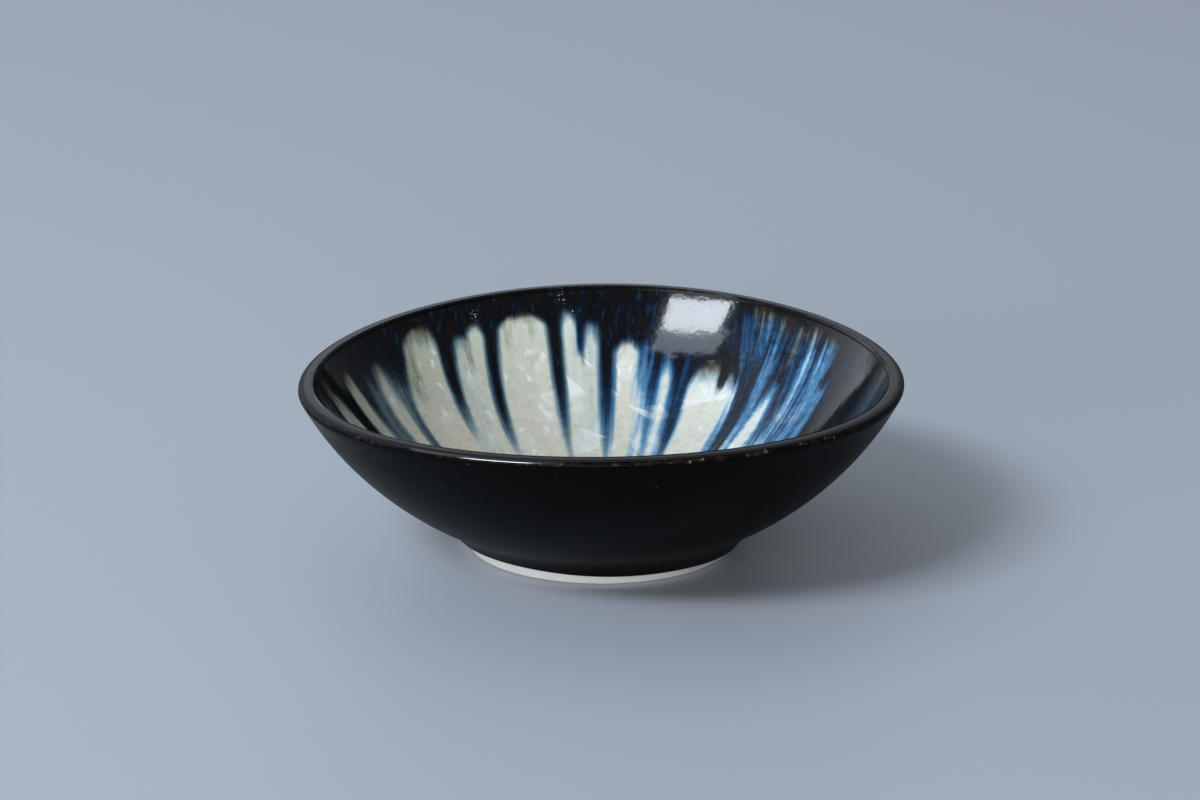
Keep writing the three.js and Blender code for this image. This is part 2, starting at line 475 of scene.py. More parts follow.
@dataclass(frozen=True)
class BarePorcelain:
    """Fired clay with no glaze: white, dry and faintly scored by the turning tool."""

    clay: str = "#efeeea"
    shade: str = "#dfddd6"
    roughness: float = 0.72
    mottle_scale: float = 0.25
    grain_scale: float = 3.5
    grain_depth: float = 0.02
    tone_gain: float = 0.25
    tone_level: float = 0.4
    score_pitch: float = 0.55
    score_length: float = 20.0
    score_depth: float = 0.03

    def material(self) -> Material:
        """Builds the finish.

        Returns:
            The material.
        """
        bench = NodeBench.for_material("bare_porcelain")
        grain = bench.noise(bench.place, self.grain_scale)
        both = bench.add(bench.noise(bench.place, self.mottle_scale), grain)
        tone = bench.math("MULTIPLY_ADD", both, self.tone_gain, self.tone_level, clamp=True)
        stretch = (1 / self.score_length, 1 / self.score_length, 1 / self.score_pitch)
        scores = bench.noise(bench.vector("MULTIPLY", bench.place, stretch), 1.0, detail=1.0)
        bench.set_shader(
            Base_Color=bench.ramp(tone, ((0.0, self.clay), (1.0, self.shade))),
            Roughness=self.roughness,
            Normal=bench.dents(grain, self.grain_depth, bench.dents(scores, self.score_depth)),
        )
        return bench.owner


@dataclass(frozen=True)
class SatinBlack:
    """Black glaze with a soft sheen that breaks to brown where it thins on the lip's edge.

    A pair of numbers is where a change starts and where it is complete.
    """

    name: str = "satin_black"
    sheen_level: float = 0.035
    black: str = "#040505"
    grey: str = "#090b0c"
    brown: str = "#241c12"
    straw: str = "#83806a"
    speck: str = "#5c5f5e"
    mottle_scale: float = 0.12
    tone_gain: float = 0.35
    tone_level: float = 0.4
    grain_scale: float = 1.6
    grain_depth: float = 0.002
    grain_gloss: float = 0.02
    ripple_stretch: tuple[float, float, float] = (0.01, 0.01, 0.4)
    ripple_depth: float = 0.015
    lip_gloss: float = 0.28
    wall_gloss: float = 0.38
    gloss_change: Span = (2.0, 8.0)
    edge_gloss_reach: Span = (1.7, 0.7)
    dry_edge: float = 0.48
    wet_edge: float = 0.06
    wet_side: tuple[float, float, float] = (-0.36, -0.93, 0.0)
    wet_change: Span = (58.0, 69.0)
    speck_scale: float = 0.3
    speck_size: Span = (0.09, 0.03)
    speck_bare_share: float = 0.7
    speck_strength: float = 0.6
    break_scale: float = 0.9
    brown_up_to: float = 0.45
    ragged_scale: float = 0.7
    ragged_width: float = 0.4
    thin_edge: Span = (0.24, -0.1)
    patch_scale: float = 0.09
    thin_patches: Span = (-0.7, 0.3)

    def material(self) -> Material:
        """Builds the finish.

        Returns:
            The material.
        """
        bench = NodeBench.for_material(self.name)
        grain = bench.noise(bench.place, self.grain_scale, detail=3.0)
        mottle = bench.noise(bench.place, self.mottle_scale, detail=4.0)
        tone = bench.math("MULTIPLY_ADD", mottle, self.tone_gain, self.tone_level, clamp=True)
        colour = bench.ramp(tone, ((0.0, self.black), (1.0, self.grey)))
        colour = bench.blend(self.specks(bench), colour, self.speck)
        breaks = bench.noise(bench.place, self.break_scale, detail=3.0)
        broken = bench.ramp(breaks, ((self.brown_up_to, self.brown), (1.0, self.straw)))
        ripple = bench.noise(bench.vector("MULTIPLY", bench.place, self.ripple_stretch), 1.0)
        bench.set_shader(
            Base_Color=bench.blend(self.thinning(bench), colour, broken),
            Roughness=self.gloss(bench, grain),
            Normal=bench.dents(grain, self.grain_depth, bench.dents(ripple, self.ripple_depth)),
            Specular_IOR_Level=self.sheen_level,
        )
        return bench.owner

    def gloss(self, bench: NodeBench, grain: NodeSocket) -> NodeSocket:
        """Roughness: glossy on the lip, satin on the wall, and dry on the lip's edge but for a wet stretch.

        Args:
            bench: Where the material is built.
            grain: Fine noise.

        Returns:
            The roughness.
        """
        run = bench.attribute("run")
        level = bench.step(run, *self.gloss_change, self.lip_gloss, self.wall_gloss)
        towards = bench.vector("DOT_PRODUCT", bench.place, self.wet_side)
        edge = bench.step(towards, *self.wet_change, self.dry_edge, self.wet_edge)
        near = bench.step(bench.math("ABSOLUTE", run), *self.edge_gloss_reach)
        level = bench.add(level, bench.times(near, bench.math("SUBTRACT", edge, level)))
        return bench.add(bench.times(grain, self.grain_gloss), level)

    def specks(self, bench: NodeBench) -> NodeSocket:
        """Tiny pale specks, a few to a square centimetre.

        Args:
            bench: Where the material is built.

        Returns:
            How much speck there is, from 0 to 1.
        """
        cells = bench.cells(bench.place, self.speck_scale)
        few = bench.math("GREATER_THAN", bench.chance(cells, 0), self.speck_bare_share)
        return bench.times(bench.step(cells.outputs["Distance"], *self.speck_size), few, self.speck_strength)

    def thinning(self, bench: NodeBench) -> NodeSocket:
        """Where the glaze has drawn thin along the lip's outer edge.

        Args:
            bench: Where the material is built.

        Returns:
            How thin it is, from 0 to 1.
        """
        away = bench.math("ABSOLUTE", bench.attribute("run"))
        ragged = bench.times(bench.noise(bench.place, self.ragged_scale, detail=3.0), self.ragged_width)
        edge = bench.step(bench.add(away, ragged), *self.thin_edge)
        patches = bench.noise(bench.place, self.patch_scale, detail=3.0)
        return bench.times(edge, bench.step(patches, *self.thin_patches))


@dataclass(frozen=True)
class CrystalKind:
    """How the large crystals of one kind look.

    Attributes:
        name: Name that the mesh keeps their layout under.
        needle_count: How many needles they have, as turns of noise.
        ground: Whiteness between the needles.
        solid: Share of their reach over which they don't fade.
        blur: Softness of the fan's sides, as a share of its spread.
        side: Where the fan's sides start, as a share of its spread.
        ragged: How unevenly long the needles are.
        tip: Where they have faded out, in lengths.
        comb: Noise at the darkest and the brightest of a needle.
    """

    name: str
    needle_count: float
    ground: float
    solid: float
    blur: float
    side: float = -0.05
    ragged: float = 0.3
    tip: float = 1.05
    comb: Span = (-0.5, 0.6)

    def whiteness(self, bench: NodeBench) -> NodeSocket:
        """Draws the crystals, each about its own seed.

        Args:
            bench: Where the material is built.

        Returns:
            Whiteness of the crystals, from 0 to 1.
        """
        seed = bench.attribute(self.name, vector=True)
        aim = bench.attribute(f"{self.name}_aim", vector=True)
        flat = bench.vector("MULTIPLY", seed, (1.0, 1.0, 0.0))
        ray = bench.vector("NORMALIZE", flat)
        lift = bench.vector("MULTIPLY", seed, (0.0, 0.0, 1.0))
        lattice = bench.vector("ADD", bench.vector("SCALE", ray, self.needle_count), lift)
        needles = bench.noise(lattice, 1.0, detail=3.0)
        within = bench.vector("DOT_PRODUCT", ray, bench.vector("MULTIPLY", aim, (1.0, 1.0, 0.0)))
        limit = bench.node("ShaderNodeSeparateXYZ", {0: aim}).outputs["Z"]
        # A little over 1, so that the narrowest fan isn't divided by 0.
        spread = bench.math("SUBTRACT", 1.0001, limit)
        inside = bench.math("DIVIDE", bench.math("SUBTRACT", within, limit), spread)
        reach = bench.add(bench.vector("LENGTH", flat), bench.times(needles, self.ragged))
        return bench.math(
            "MULTIPLY",
            bench.times(
                bench.step(inside, self.side, self.blur),
                bench.step(reach, self.tip, self.solid),
                bench.step(needles, *self.comb, self.ground, 1.0),
            ),
            bench.attribute(f"{self.name}_glow"),
            clamp=True,
        )


@dataclass(frozen=True)
class RunGlaze:
    """Glossy inside: dark glaze over cream, blue or olive where it is thin, with fans of fine crystals.

    A streak is its width and length. Another pair of numbers is where a change starts and where it is
    complete, and two more are the results there. A veil's colours go from its thinnest to its thickest.
    The grain's shares are those of coarse streaks, fine streaks, cloud and needles.
    """

    green_cream: str = "#cccfba"
    beige_cream: str = "#e5dcc7"
    white_cream: str = "#dfe4dc"
    shade_cream: str = "#a9ab97"
    # White of the crystals; the specks of painted highlight are blended in with it too.
    crystal: str = "#f6fafa"
    feather: str = "#a8cae4"
    olive_veil: Stops = (
        (0.0, "#bfc2ac"), (0.16, "#a9af98"), (0.32, "#817f6a"), (0.48, "#564b3b"),
        (0.64, "#2d241d"), (0.8, "#151211"), (1.0, "#07080a"),
    )
    slate_veil: Stops = (
        (0.0, "#bcc6c1"), (0.16, "#9eaeae"), (0.32, "#72868b"), (0.48, "#475b68"),
        (0.64, "#21313f"), (0.8, "#0d151f"), (1.0, "#06080c"),
    )
    blue_veil: Stops = (
        (0.0, "#bcd8e4"), (0.16, "#93bdd6"), (0.32, "#588bb0"), (0.48, "#356690"),
        (0.64, "#173d62"), (0.8, "#0b1a30"), (1.0, "#07090f"),
    )
    collar: Stops = (
        (0.0, "#24160f"), (0.3, "#0f0b0a"), (0.5, "#06070a"), (0.72, "#09121d"), (1.0, "#1a3148"),
    )
    roughness: float = 0.08
    shine_level: float = 0.34
    coarse_streak: Span = (2.4, 30.0)
    fine_streak: Span = (0.75, 22.0)
    feather_streak: Span = (0.4, 11.0)
    collar_smear: Span = (1.5, 5.0)
    blotch_scale: float = 0.16
    cloud_scale: float = 0.55
    streak_depth: float = 0.004
    ripple_depth: float = 0.005
    beige_depth: Span = (12.0, 36.0)
    beige_wander: float = 6.0
    hue_wander: float = 0.12
    uneven_needles: float = 0.8
    uneven_shade: Steps = (-0.3, 1.3, 0.0, 0.36)
    needle_sparkle: float = 0.12
    gleam_under: Span = (0.16, 0.0)
    grain_shares: tuple[float, ...] = (0.42, 0.36, 0.2, 0.12)
    ragged_by_stir: Steps = (0.0, 0.6, 0.6, 1.2)
    stir_sway: float = 0.24
    least_sway: float = 0.03
    least_smear: float = 0.7
    smear_range: Span = (-0.9, 0.9)
    veil_over: Span = (0.0, 0.24)
    black_over: Span = (0.78, 1.0)
    feather_range: Span = (0.25, 0.95)
    feather_under: Span = (0.9, 0.4)
    feather_strength: float = 0.5
    clear_under: Steps = (0.7, 0.15, 0.03, 1.0)
    fan_scale: float = 0.28
    fan_needles: float = 5.0
    fan_shift: float = 40.0
    fan_spread: Span = (0.66, 0.84)
    fan_reach: Span = (0.74, 0.36)
    fan_share: Span = (0.1, 0.75)
    fan_comb: Steps = (-0.7, 0.6, 0.4, 1.0)
    # Size and share of the specks of painted highlight, where light caught the glaze.
    glint_scale: float = 1.5
    glint_size: Span = (0.5, 0.15)
    glint_share: Span = (0.3, 0.7)
    crystal_kinds: tuple[CrystalKind, ...] = (
        CrystalKind("star", 13.0, 0.2, 0.25, 0.4),
        CrystalKind("blade", 6.0, 0.6, 0.55, 0.2),
    )

    def material(self) -> Material:
        """Builds the finish.

        Returns:
            The material.
        """
        bench = NodeBench.for_material("run_glaze")
        coarse = self.streaks(bench, *self.coarse_streak)
        cloud = bench.noise(bench.place, self.cloud_scale, detail=3.0)
        blotch = bench.noise(bench.place, self.blotch_scale, detail=3.0)
        needles, gleams = self.small_fans(bench)
        thick = self.thickness(bench, coarse, cloud, needles)
        cream = self.cream(bench, blotch, cloud, needles, gleams)
        colour = bench.blend(bench.step(thick, *self.veil_over), cream, self.veil(bench, thick, blotch))
        feathers = bench.step(self.streaks(bench, *self.feather_streak), *self.feather_range)
        stirred = bench.times(bench.attribute("stir"), bench.step(thick, *self.feather_under))
        colour = bench.blend(bench.times(feathers, stirred, self.feather_strength), colour, self.feather)
        clear = bench.step(thick, *self.clear_under)
        for kind in self.crystal_kinds:
            colour = bench.blend(bench.times(kind.whiteness(bench), clear), colour, self.crystal)
        # The last blend paints the highlight specks into the colour in crystal white.
        bench.set_shader(
            Base_Color=bench.blend(self.painted_glints(bench), colour, self.crystal),
            Roughness=self.roughness,
            Normal=bench.dents(cloud, self.ripple_depth, bench.dents(coarse, self.streak_depth)),
            Specular_IOR_Level=self.shine_level,
        )
        return bench.owner

    def streaks(self, bench: NodeBench, width: float, length: float, detail: float = 2.0) -> NodeSocket:
        """Noise from about -1 to 1, drawn out the way the melted glaze ran."""
        flow = bench.attribute("flow", vector=True)
        return bench.noise(bench.vector("MULTIPLY", flow, (1 / width, 1 / width, 1 / length)), 1.0, detail)

    def thickness(
        self, bench: NodeBench, coarse: NodeSocket, cloud: NodeSocket, needles: NodeSocket,
    ) -> NodeSocket:
        """Thickness of the dark glaze, made ragged where it was stirred and along its edges.

        Args:
            bench: Where the material is built.
            coarse: Coarse streaks.
            cloud: Soft noise.
            needles: Brightness of the small crystals' needles.

        Returns:
            The thickness, from 0 to 1.
        """
        laid = bench.attribute("thick")
        stir = bench.attribute("stir")
        edge = bench.times(laid, bench.math("SUBTRACT", 1.0, laid))
        ragged = bench.times(edge, bench.step(stir, *self.ragged_by_stir))
        sway = bench.add(bench.times(stir, self.stir_sway), ragged, self.least_sway)
        fine = self.streaks(bench, *self.fine_streak)
        parts = zip((coarse, fine, cloud, needles), self.grain_shares)
        grain = bench.add(*(bench.times(part, share) for part, share in parts))
        return bench.math("ADD", laid, bench.times(grain, sway), clamp=True)

    def cream(
        self, bench: NodeBench, blotch: NodeSocket, cloud: NodeSocket,
        needles: NodeSocket, gleams: NodeSocket,
    ) -> NodeSocket:
        """Colour of the bare cream, greenish high up and beige low down, with its crystals.

        Args:
            bench: Where the material is built.
            blotch: Broad noise.
            cloud: Soft noise.
            needles: Brightness of the small crystals' needles.
            gleams: Brightness of the small fans that gleam.

        Returns:
            The colour.
        """
        depth = bench.add(bench.attribute("run"), bench.times(blotch, self.beige_wander))
        pale = bench.blend(bench.step(depth, *self.beige_depth), self.green_cream, self.beige_cream)
        pale = bench.blend(bench.attribute("white"), pale, self.white_cream)
        uneven = bench.add(cloud, bench.times(needles, self.uneven_needles))
        pale = bench.blend(bench.step(uneven, *self.uneven_shade), pale, self.shade_cream)
        bare = bench.step(bench.attribute("thick"), *self.gleam_under)
        fine = bench.times(needles, self.needle_sparkle)
        sparkle = bench.math("ADD", fine, bench.times(gleams, bare), clamp=True)
        return bench.blend(sparkle, pale, self.crystal)

    def veil(self, bench: NodeBench, thick: NodeSocket, blotch: NodeSocket) -> NodeSocket:
        """Colour of the dark glaze: olive, slate or blue by its hue, and mottled black where it is thickest.

        Args:
            bench: Where the material is built.
            thick: Thickness of the dark glaze.
            blotch: Broad noise.

        Returns:
            The colour.
        """
        hue = bench.math("ADD", bench.attribute("hue"), bench.times(blotch, self.hue_wander), clamp=True)
        olive, slate, blue = (
            bench.ramp(thick, veil) for veil in (self.olive_veil, self.slate_veil, self.blue_veil)
        )
        cool = bench.blend(bench.step(hue, Hue.SLATE.value, Hue.BLUE.value), slate, blue)
        veiled = bench.blend(bench.step(hue, Hue.SLATE.value, Hue.OLIVE.value), cool, olive)
        smear = self.streaks(bench, *self.collar_smear, detail=5.0)
        smear = bench.times(smear, bench.add(bench.attribute("stir"), self.least_smear))
        black = bench.ramp(bench.step(smear, *self.smear_range), self.collar)
        return bench.blend(bench.step(thick, *self.black_over), veiled, black)

    def painted_glints(self, bench: NodeBench) -> NodeSocket:
        """Painted highlights: clusters of tiny bright specks where light caught the glaze, painted in crystal
        white.

        Args:
            bench: Where the material is built.

        Returns:
            Whiteness of the painted highlights, from 0 to 1.
        """
        cells = bench.cells(bench.place, self.glint_scale)
        dot = bench.step(cells.outputs["Distance"], *self.glint_size)
        some = bench.step(bench.chance(cells, 0), *self.glint_share)
        return bench.math("MULTIPLY", bench.times(dot, some), bench.attribute("painted_glint"), clamp=True)

    def small_fans(self, bench: NodeBench) -> tuple[NodeSocket, NodeSocket]:
        """Crystals that have grown out from scattered seeds until they met, some of which catch the light.

        Args:
            bench: Where the material is built.

        Returns:
            Brightness of the needles, from about -1 to 1, and of the fans that gleam, from 0 to 1.
        """
        flat = bench.vector("MULTIPLY", bench.place, (1.0, 1.0, 0.0))
        cells = bench.cells(flat, self.fan_scale)
        ray = bench.vector("NORMALIZE", bench.vector("SUBTRACT", flat, cells.outputs["Position"]))
        chance = cells.outputs["Color"]
        shift = bench.vector("SCALE", chance, self.fan_shift)
        lattice = bench.vector("ADD", bench.vector("SCALE", ray, self.fan_needles), shift)
        needles = bench.noise(lattice, 1.0)
        aim = bench.vector("MULTIPLY", bench.vector("SUBTRACT", chance, (0.5, 0.5, 0.5)), (1.0, 1.0, 0.0))
        within = bench.vector("DOT_PRODUCT", ray, bench.vector("NORMALIZE", aim))
        gleam = bench.times(
            bench.step(within, *self.fan_spread),
            bench.step(cells.outputs["Distance"], *self.fan_reach),
            bench.step(bench.chance(cells, 2), *self.fan_share),
            bench.step(needles, *self.fan_comb),
        )
        return needles, gleam


class Hue(Enum):
    """Colour that the dark glaze shows where it is thin."""

    OLIVE = 0.0
    SLATE = 0.5
    BLUE = 1.0


class FingerTone(Enum):
    """How clear of dark glaze a finger is.

    The numbers are the veil left all over it, its whiteness, and the thickness and length of the olive
    veil under its top.
    """

    CREAM = (0.0, 0.0, 0.5, 9.0)
    SHORT = (0.0, 0.25, 0.35, 4.0)
    FEATHERED = (0.0, 0.28, 0.6, 8.0)
    BRIGHT = (0.05, 0.6, 0.25, 5.0)
    COOL = (0.09, 0.5, 0.3, 8.0)
    WHITE = (0.0, 0.9, 0.3, 7.0)
    PALE_BLUE = (0.2, 0.5, 0.4, 8.0)
    BLUE = (0.34, 0.4, 0.5, 8.0)


@dataclass(frozen=True)
class Finger:
    """A round-topped stretch that the dark glaze left bare.

    Attributes:
        tip: Bearing and depth of its top.
        shoulder: Depth where it has its full width, with the bearings of its left and right edge.
        foot: A lower depth with the bearings of both edges there.
        tone: How clear it is.
        degrees_per_mm: Turn for a millimetre of an upright finger's width.
        flare: Factor on that turn at its foot.
        margin: Millimetres added to the depth of its shoulder and to its half width at the foot.
        foot_depth: Depth of its foot.
        lowest: Where any finger's edges stop spreading, in heights from shoulder to foot.
    """

    tip: Span
    shoulder: tuple[float, float, float]
    foot: tuple[float, float, float]
    tone: FingerTone = FingerTone.CREAM
    degrees_per_mm: ClassVar[float] = 0.92
    flare: ClassVar[float] = 1.25
    margin: ClassVar[float] = 1.5
    foot_depth: ClassVar[float] = 46.0
    lowest: ClassVar[float] = 1.6

    @classmethod
    def upright(cls, bearing: float, tip: float, top: float, low: float) -> "Finger":
        """Makes a finger from widths in place of bearings.

        Args:
            bearing: Bearing of its middle.
            tip: Depth of its top.
            top: Width under the top.
            low: Width at the foot of the runs.

        Returns:
            The finger.
        """
        high = top / 2 * cls.degrees_per_mm
        wide = (low / 2 + cls.margin) * cls.degrees_per_mm * cls.flare
        shoulder = (tip + top / 2 + cls.margin, bearing + high, bearing - high)
        return cls((bearing, tip), shoulder, (cls.foot_depth, bearing + wide, bearing - wide))

    def inside(self, bearing: np.ndarray, depth: np.ndarray, degree: np.ndarray) -> np.ndarray:
        """Distance inside the finger's edge.

        Args:
            bearing: Bearings in degrees.
            depth: Distances below the lip.
            degree: Length of one degree at each place.

        Returns:
            Millimetres inside the edge, negative outside.
        """
        middle, top = self.tip
        aside = turn(middle, bearing)
        rise = np.clip((depth - top) / (self.shoulder[0] - top), 0, 1)
        opened = np.sqrt(rise * (2 - rise))
        fall = np.clip((depth - self.shoulder[0]) / (self.foot[0] - self.shoulder[0]), 0, self.lowest)
        left, right = (
            (self.shoulder[side] - middle) * opened + (self.foot[side] - self.shoulder[side]) * fall
            for side in (1, 2)
        )
        beside = np.minimum(left - aside, aside - right) * degree
        above = np.maximum(top - depth, 0)
        under = np.where(beside > 0, np.minimum(beside, np.maximum(depth - top, 0)), beside)
        return np.where(above > 0, -np.hypot(beside, above), under)


@dataclass(frozen=True)
class RunEnd:
    """How far a dark run stays black, and where it has faded out."""

    bearing: float
    black_to: float
    gone_by: float


@dataclass(frozen=True)
class Streak:
    """A streak of thinner or thicker glaze laid over the pattern.

    Attributes:
        start: Bearing and depth of its top.
        end: Bearing and depth of its bottom.
        widths: Width at the top and at the bottom.
        thick: Thickness of the dark glaze in it.
        hue: Colour that it shows where it is thin.
        strength: How fully it covers what is under it.
        veil: Whether it only darkens what is under it.
        least_width: Width that it keeps where it tapers.
        top_fade: Shares of its length where it sets in and where it is whole.
        bottom_fade: Shares of its length where it has gone and where it is still whole.
        side_fade: The same to either side, in half widths.
    """

    start: Span
    end: Span
    widths: Span
    thick: float
    hue: Hue = Hue.BLUE
    strength: float = 1.0
    veil: bool = False
    least_width: ClassVar[float] = 0.2
    top_fade: ClassVar[Span] = (-0.15, 0.25)
    bottom_fade: ClassVar[Span] = (1.2, 0.7)
    side_fade: ClassVar[Span] = (1.35, 0.5)

    def cover(self, bearing: np.ndarray, depth: np.ndarray, degree: np.ndarray) -> np.ndarray:
        """How much of the streak there is at each place.

        Args:
            bearing: Bearings in degrees.
            depth: Distances below the lip.
            degree: Length of one degree at each place.

        Returns:
            The cover, from 0 to 1.
        """
        along = (depth - self.start[1]) / (self.end[1] - self.start[1])
        middle = self.start[0] + (self.end[0] - self.start[0]) * along
        aside = np.abs(turn(middle, bearing)) * degree
        width = self.widths[0] + (self.widths[1] - self.widths[0]) * along
        half = np.maximum(width, self.least_width) / 2
        ends = ease(*self.top_fade, along) * ease(*self.bottom_fade, along)
        return self.strength * ends * ease(*self.side_fade, aside / half)


@dataclass(frozen=True)
class Star:
    """A fan of crystal needles.

    Attributes:
        bearing: Bearing of its seed.
        depth: Depth of its seed.
        reach: Length of its needles.
        glow: How white it is.
        aim: Middle of the fan, 0 to the right, 90 down, 180 left and 270 up.
        spread: Half of the fan's angle; 180 is a full star.
    """

    bearing: float
    depth: float
    reach: float
    glow: float
    aim: float = 0.0
    spread: float = 180.0


@dataclass(frozen=True)
class RunPattern:
    """Where the dark glaze ran, where it left the cream bare, and where crystals grew.

    A pair of numbers is where a change starts and where it is complete. A painted highlight is a
    bearing, a depth and a size. The lists by bearing give a bearing and a value.
    """

    soft_in: float = 1.2
    soft_gain: float = 0.03
    soft_top: float = 3.4
    soft_out: float = 1.2
    clear_edge: Span = (-0.5, 1.0)
    veil_curve: float = 1.3
    stream_radius: float = 60.0
    stir_start: Span = (0.0, 5.0)
    stir_thins: float = 0.4
    pattern_end: Span = (58.0, 42.0)
    hue_gain: float = 0.1
    hue_gain_depth: Span = (16.0, 32.0)
    olive_collar: Span = (1.5, 7.5)
    warm_below: float = 0.3
    white_front: Span = (92.0, 70.0)
    front_whiteness: float = 0.5
    seed_spacing: float = 3.7
    crystal_gap: float = 0.3
    fingers: tuple[Finger, ...] = (
        Finger((174, 8.3), (13, 177.5, 170.8), (24, 178.5, 170.2)),
        Finger((161.5, 7), (12, 165.2, 159.9), (28, 167, 160.6)),
        Finger((149.7, 10), (15, 152.2, 148.2), (33, 156, 151)),
        Finger((132.6, 5.6), (12, 140, 129.6), (40, 150.5, 132.8)),
        Finger((118.9, 8), (13, 122.4, 117.4), (45, 128, 121.6), FingerTone.SHORT),
        Finger((124, 10.4), (16, 126.8, 120.2), (45, 133.2, 123), FingerTone.COOL),
        Finger((107.6, 7.4), (12.5, 114.4, 102.3), (47, 121.5, 101.7), FingerTone.SHORT),
        Finger((98.2, 7.4), (11, 99.4, 95.3), (48, 100.4, 94.3), FingerTone.BRIGHT),
        Finger((92.4, 10.5), (15, 94.6, 90.2), (48, 96, 90), FingerTone.COOL),
        Finger((83.3, 15.2), (20.5, 87.2, 80.3), (50, 86.6, 80.4), FingerTone.SHORT),
        Finger((78.7, 20), (25, 80.6, 77.2), (50, 80.8, 77), FingerTone.PALE_BLUE),
        Finger((73.3, 19.5), (27, 75, 70.7), (50, 75.2, 69.2), FingerTone.WHITE),
        Finger((60.4, 19.2), (29.5, 67.2, 51.8), (50, 67, 50.8), FingerTone.FEATHERED),
        Finger((46.3, 12), (20, 47, 45.7), (44, 46, 43), FingerTone.BLUE),
        Finger((42, 18.5), (25, 43.3, 40.2), (44, 45, 35.8), FingerTone.WHITE),
        *(Finger.upright(*row) for row in (
            (-14, 14, 5, 4), (-27, 11, 8, 7), (-42, 9, 9, 8), (-56.5, 12, 5, 4), (-68, 8, 9, 7),
            (-82, 10, 8, 6.5), (-95, 13, 5, 4), (-107, 8, 10, 8), (-122, 9, 9, 8), (-136, 12, 5, 4),
            (-148, 8, 9, 7), (-161, 11, 5, 4.4), (-173, 10, 6, 5),
        )),
    )
    run_ends: tuple[RunEnd, ...] = tuple(RunEnd(*row) for row in (
        (-180, 30, 60), (-167, 26, 50), (-154, 22, 44), (-142, 30, 56),
        (-129, 24, 48), (-114, 34, 60), (-100, 26, 46), (-88, 30, 62),
        (-75, 22, 44), (-61, 34, 58), (-50, 26, 50), (-34, 30, 60),
        (-20, 26, 54), (-5, 34, 64), (10, 36, 66), (20, 34, 64),
        (30, 24, 56), (38, 26, 48), (44.5, 16, 50), (49.5, 36, 80),
        (58.3, 22, 26), (68.2, 14, 84), (75.2, 14, 80), (79, 19, 27),
        (88.5, 18, 72), (95.3, 15, 21), (101.6, 23, 66), (118.5, 30, 58),
        (130.5, 19, 52), (147.5, 4, 31), (156, 3, 29), (168, 40, 70),
        (180, 30, 60),
    ))
    streaks: tuple[Streak, ...] = tuple(Streak(*row) for row in (
        ((144.5, 13), (152, 52), (4.6, 2.2), 0.43, Hue.SLATE, 0.95, True),
        ((155, 11), (159.5, 52), (6.5, 3.4), 0.43, Hue.SLATE, 0.95, True),
        ((137.8, 7), (141, 26), (4.6, 5), 0.25, Hue.OLIVE, 0.9, True),
        ((121.8, 7), (122.8, 21), (2.6, 1.8), 0.25, Hue.OLIVE, 0.9, True),
        ((111.6, 6), (111.9, 17), (3.6, 2.4), 0.18, Hue.OLIVE, 0.9, True),
        ((106.6, 6), (106.2, 15), (2.6, 1.4), 0.2, Hue.OLIVE, 0.9, True),
        ((95.2, 6), (94.9, 20), (2, 0.9), 0.85),
        ((79.4, 15), (79, 30), (2.6, 2.4), 0.46, Hue.BLUE, 0.8),
        ((77.4, 15), (77.2, 32), (1, 1.2), 0.6),
        ((68.4, 18), (67.4, 50), (3, 1.6), 0.72),
        ((60, 2), (59.5, 13), (6, 4), 0.74, Hue.OLIVE, 0.6),
        ((67.5, 1), (67, 9), (5, 3), 0.62, Hue.OLIVE, 0.6),
        ((53, 0.8), (52, 10), (8, 4), 0.52, Hue.OLIVE, 0.72),
        ((45, 0.8), (45.5, 9), (6, 4), 0.56, Hue.OLIVE, 0.7),
        ((37, 0.8), (37.5, 8.5), (7, 4), 0.56, Hue.OLIVE, 0.65),
        ((57.6, 14), (57.8, 27), (4.6, 1.8), 0.85, Hue.OLIVE, 0.95),
        ((58.6, 5), (57, 19), (4.6, 3.6), 0.76, Hue.BLUE, 0.7),
        ((55.5, 5), (53.5, 18), (4, 2.8), 0.66, Hue.BLUE, 0.7),
        ((50.8, 4), (50.2, 20), (4, 2.8), 0.54, Hue.BLUE, 0.85),
        ((51, 15), (50.4, 29), (3.6, 3), 0.78),
        ((49.6, 24), (47.8, 46), (3, 3.4), 0.86),
        ((46.3, 7), (45.2, 46), (2.4, 3), 0.4),
        ((33.5, 5), (30.5, 42), (12, 14), 0.46),
        ((29, 11), (25, 38), (5, 8), 0.42),
        ((41.4, 3), (41.8, 16), (2.4, 2.8), 0.5, Hue.OLIVE, 0.75),
        ((39.6, 14), (35, 34), (2.2, 3.4), 0.74),
        ((36.6, 8), (34, 31), (1.6, 2), 0.28, Hue.BLUE, 0.8),
        ((33, 7), (31, 26), (1.4, 1.4), 0.28, Hue.BLUE, 0.8),
        ((30.6, 9), (28, 31), (1.4, 1.8), 0.3, Hue.BLUE, 0.8),
        ((35.6, 23), (33, 40), (2, 2.6), 0.28, Hue.BLUE, 0.8),
        ((26.4, 3), (27.6, 16), (3.4, 2.6), 0.97, Hue.SLATE),
    ))
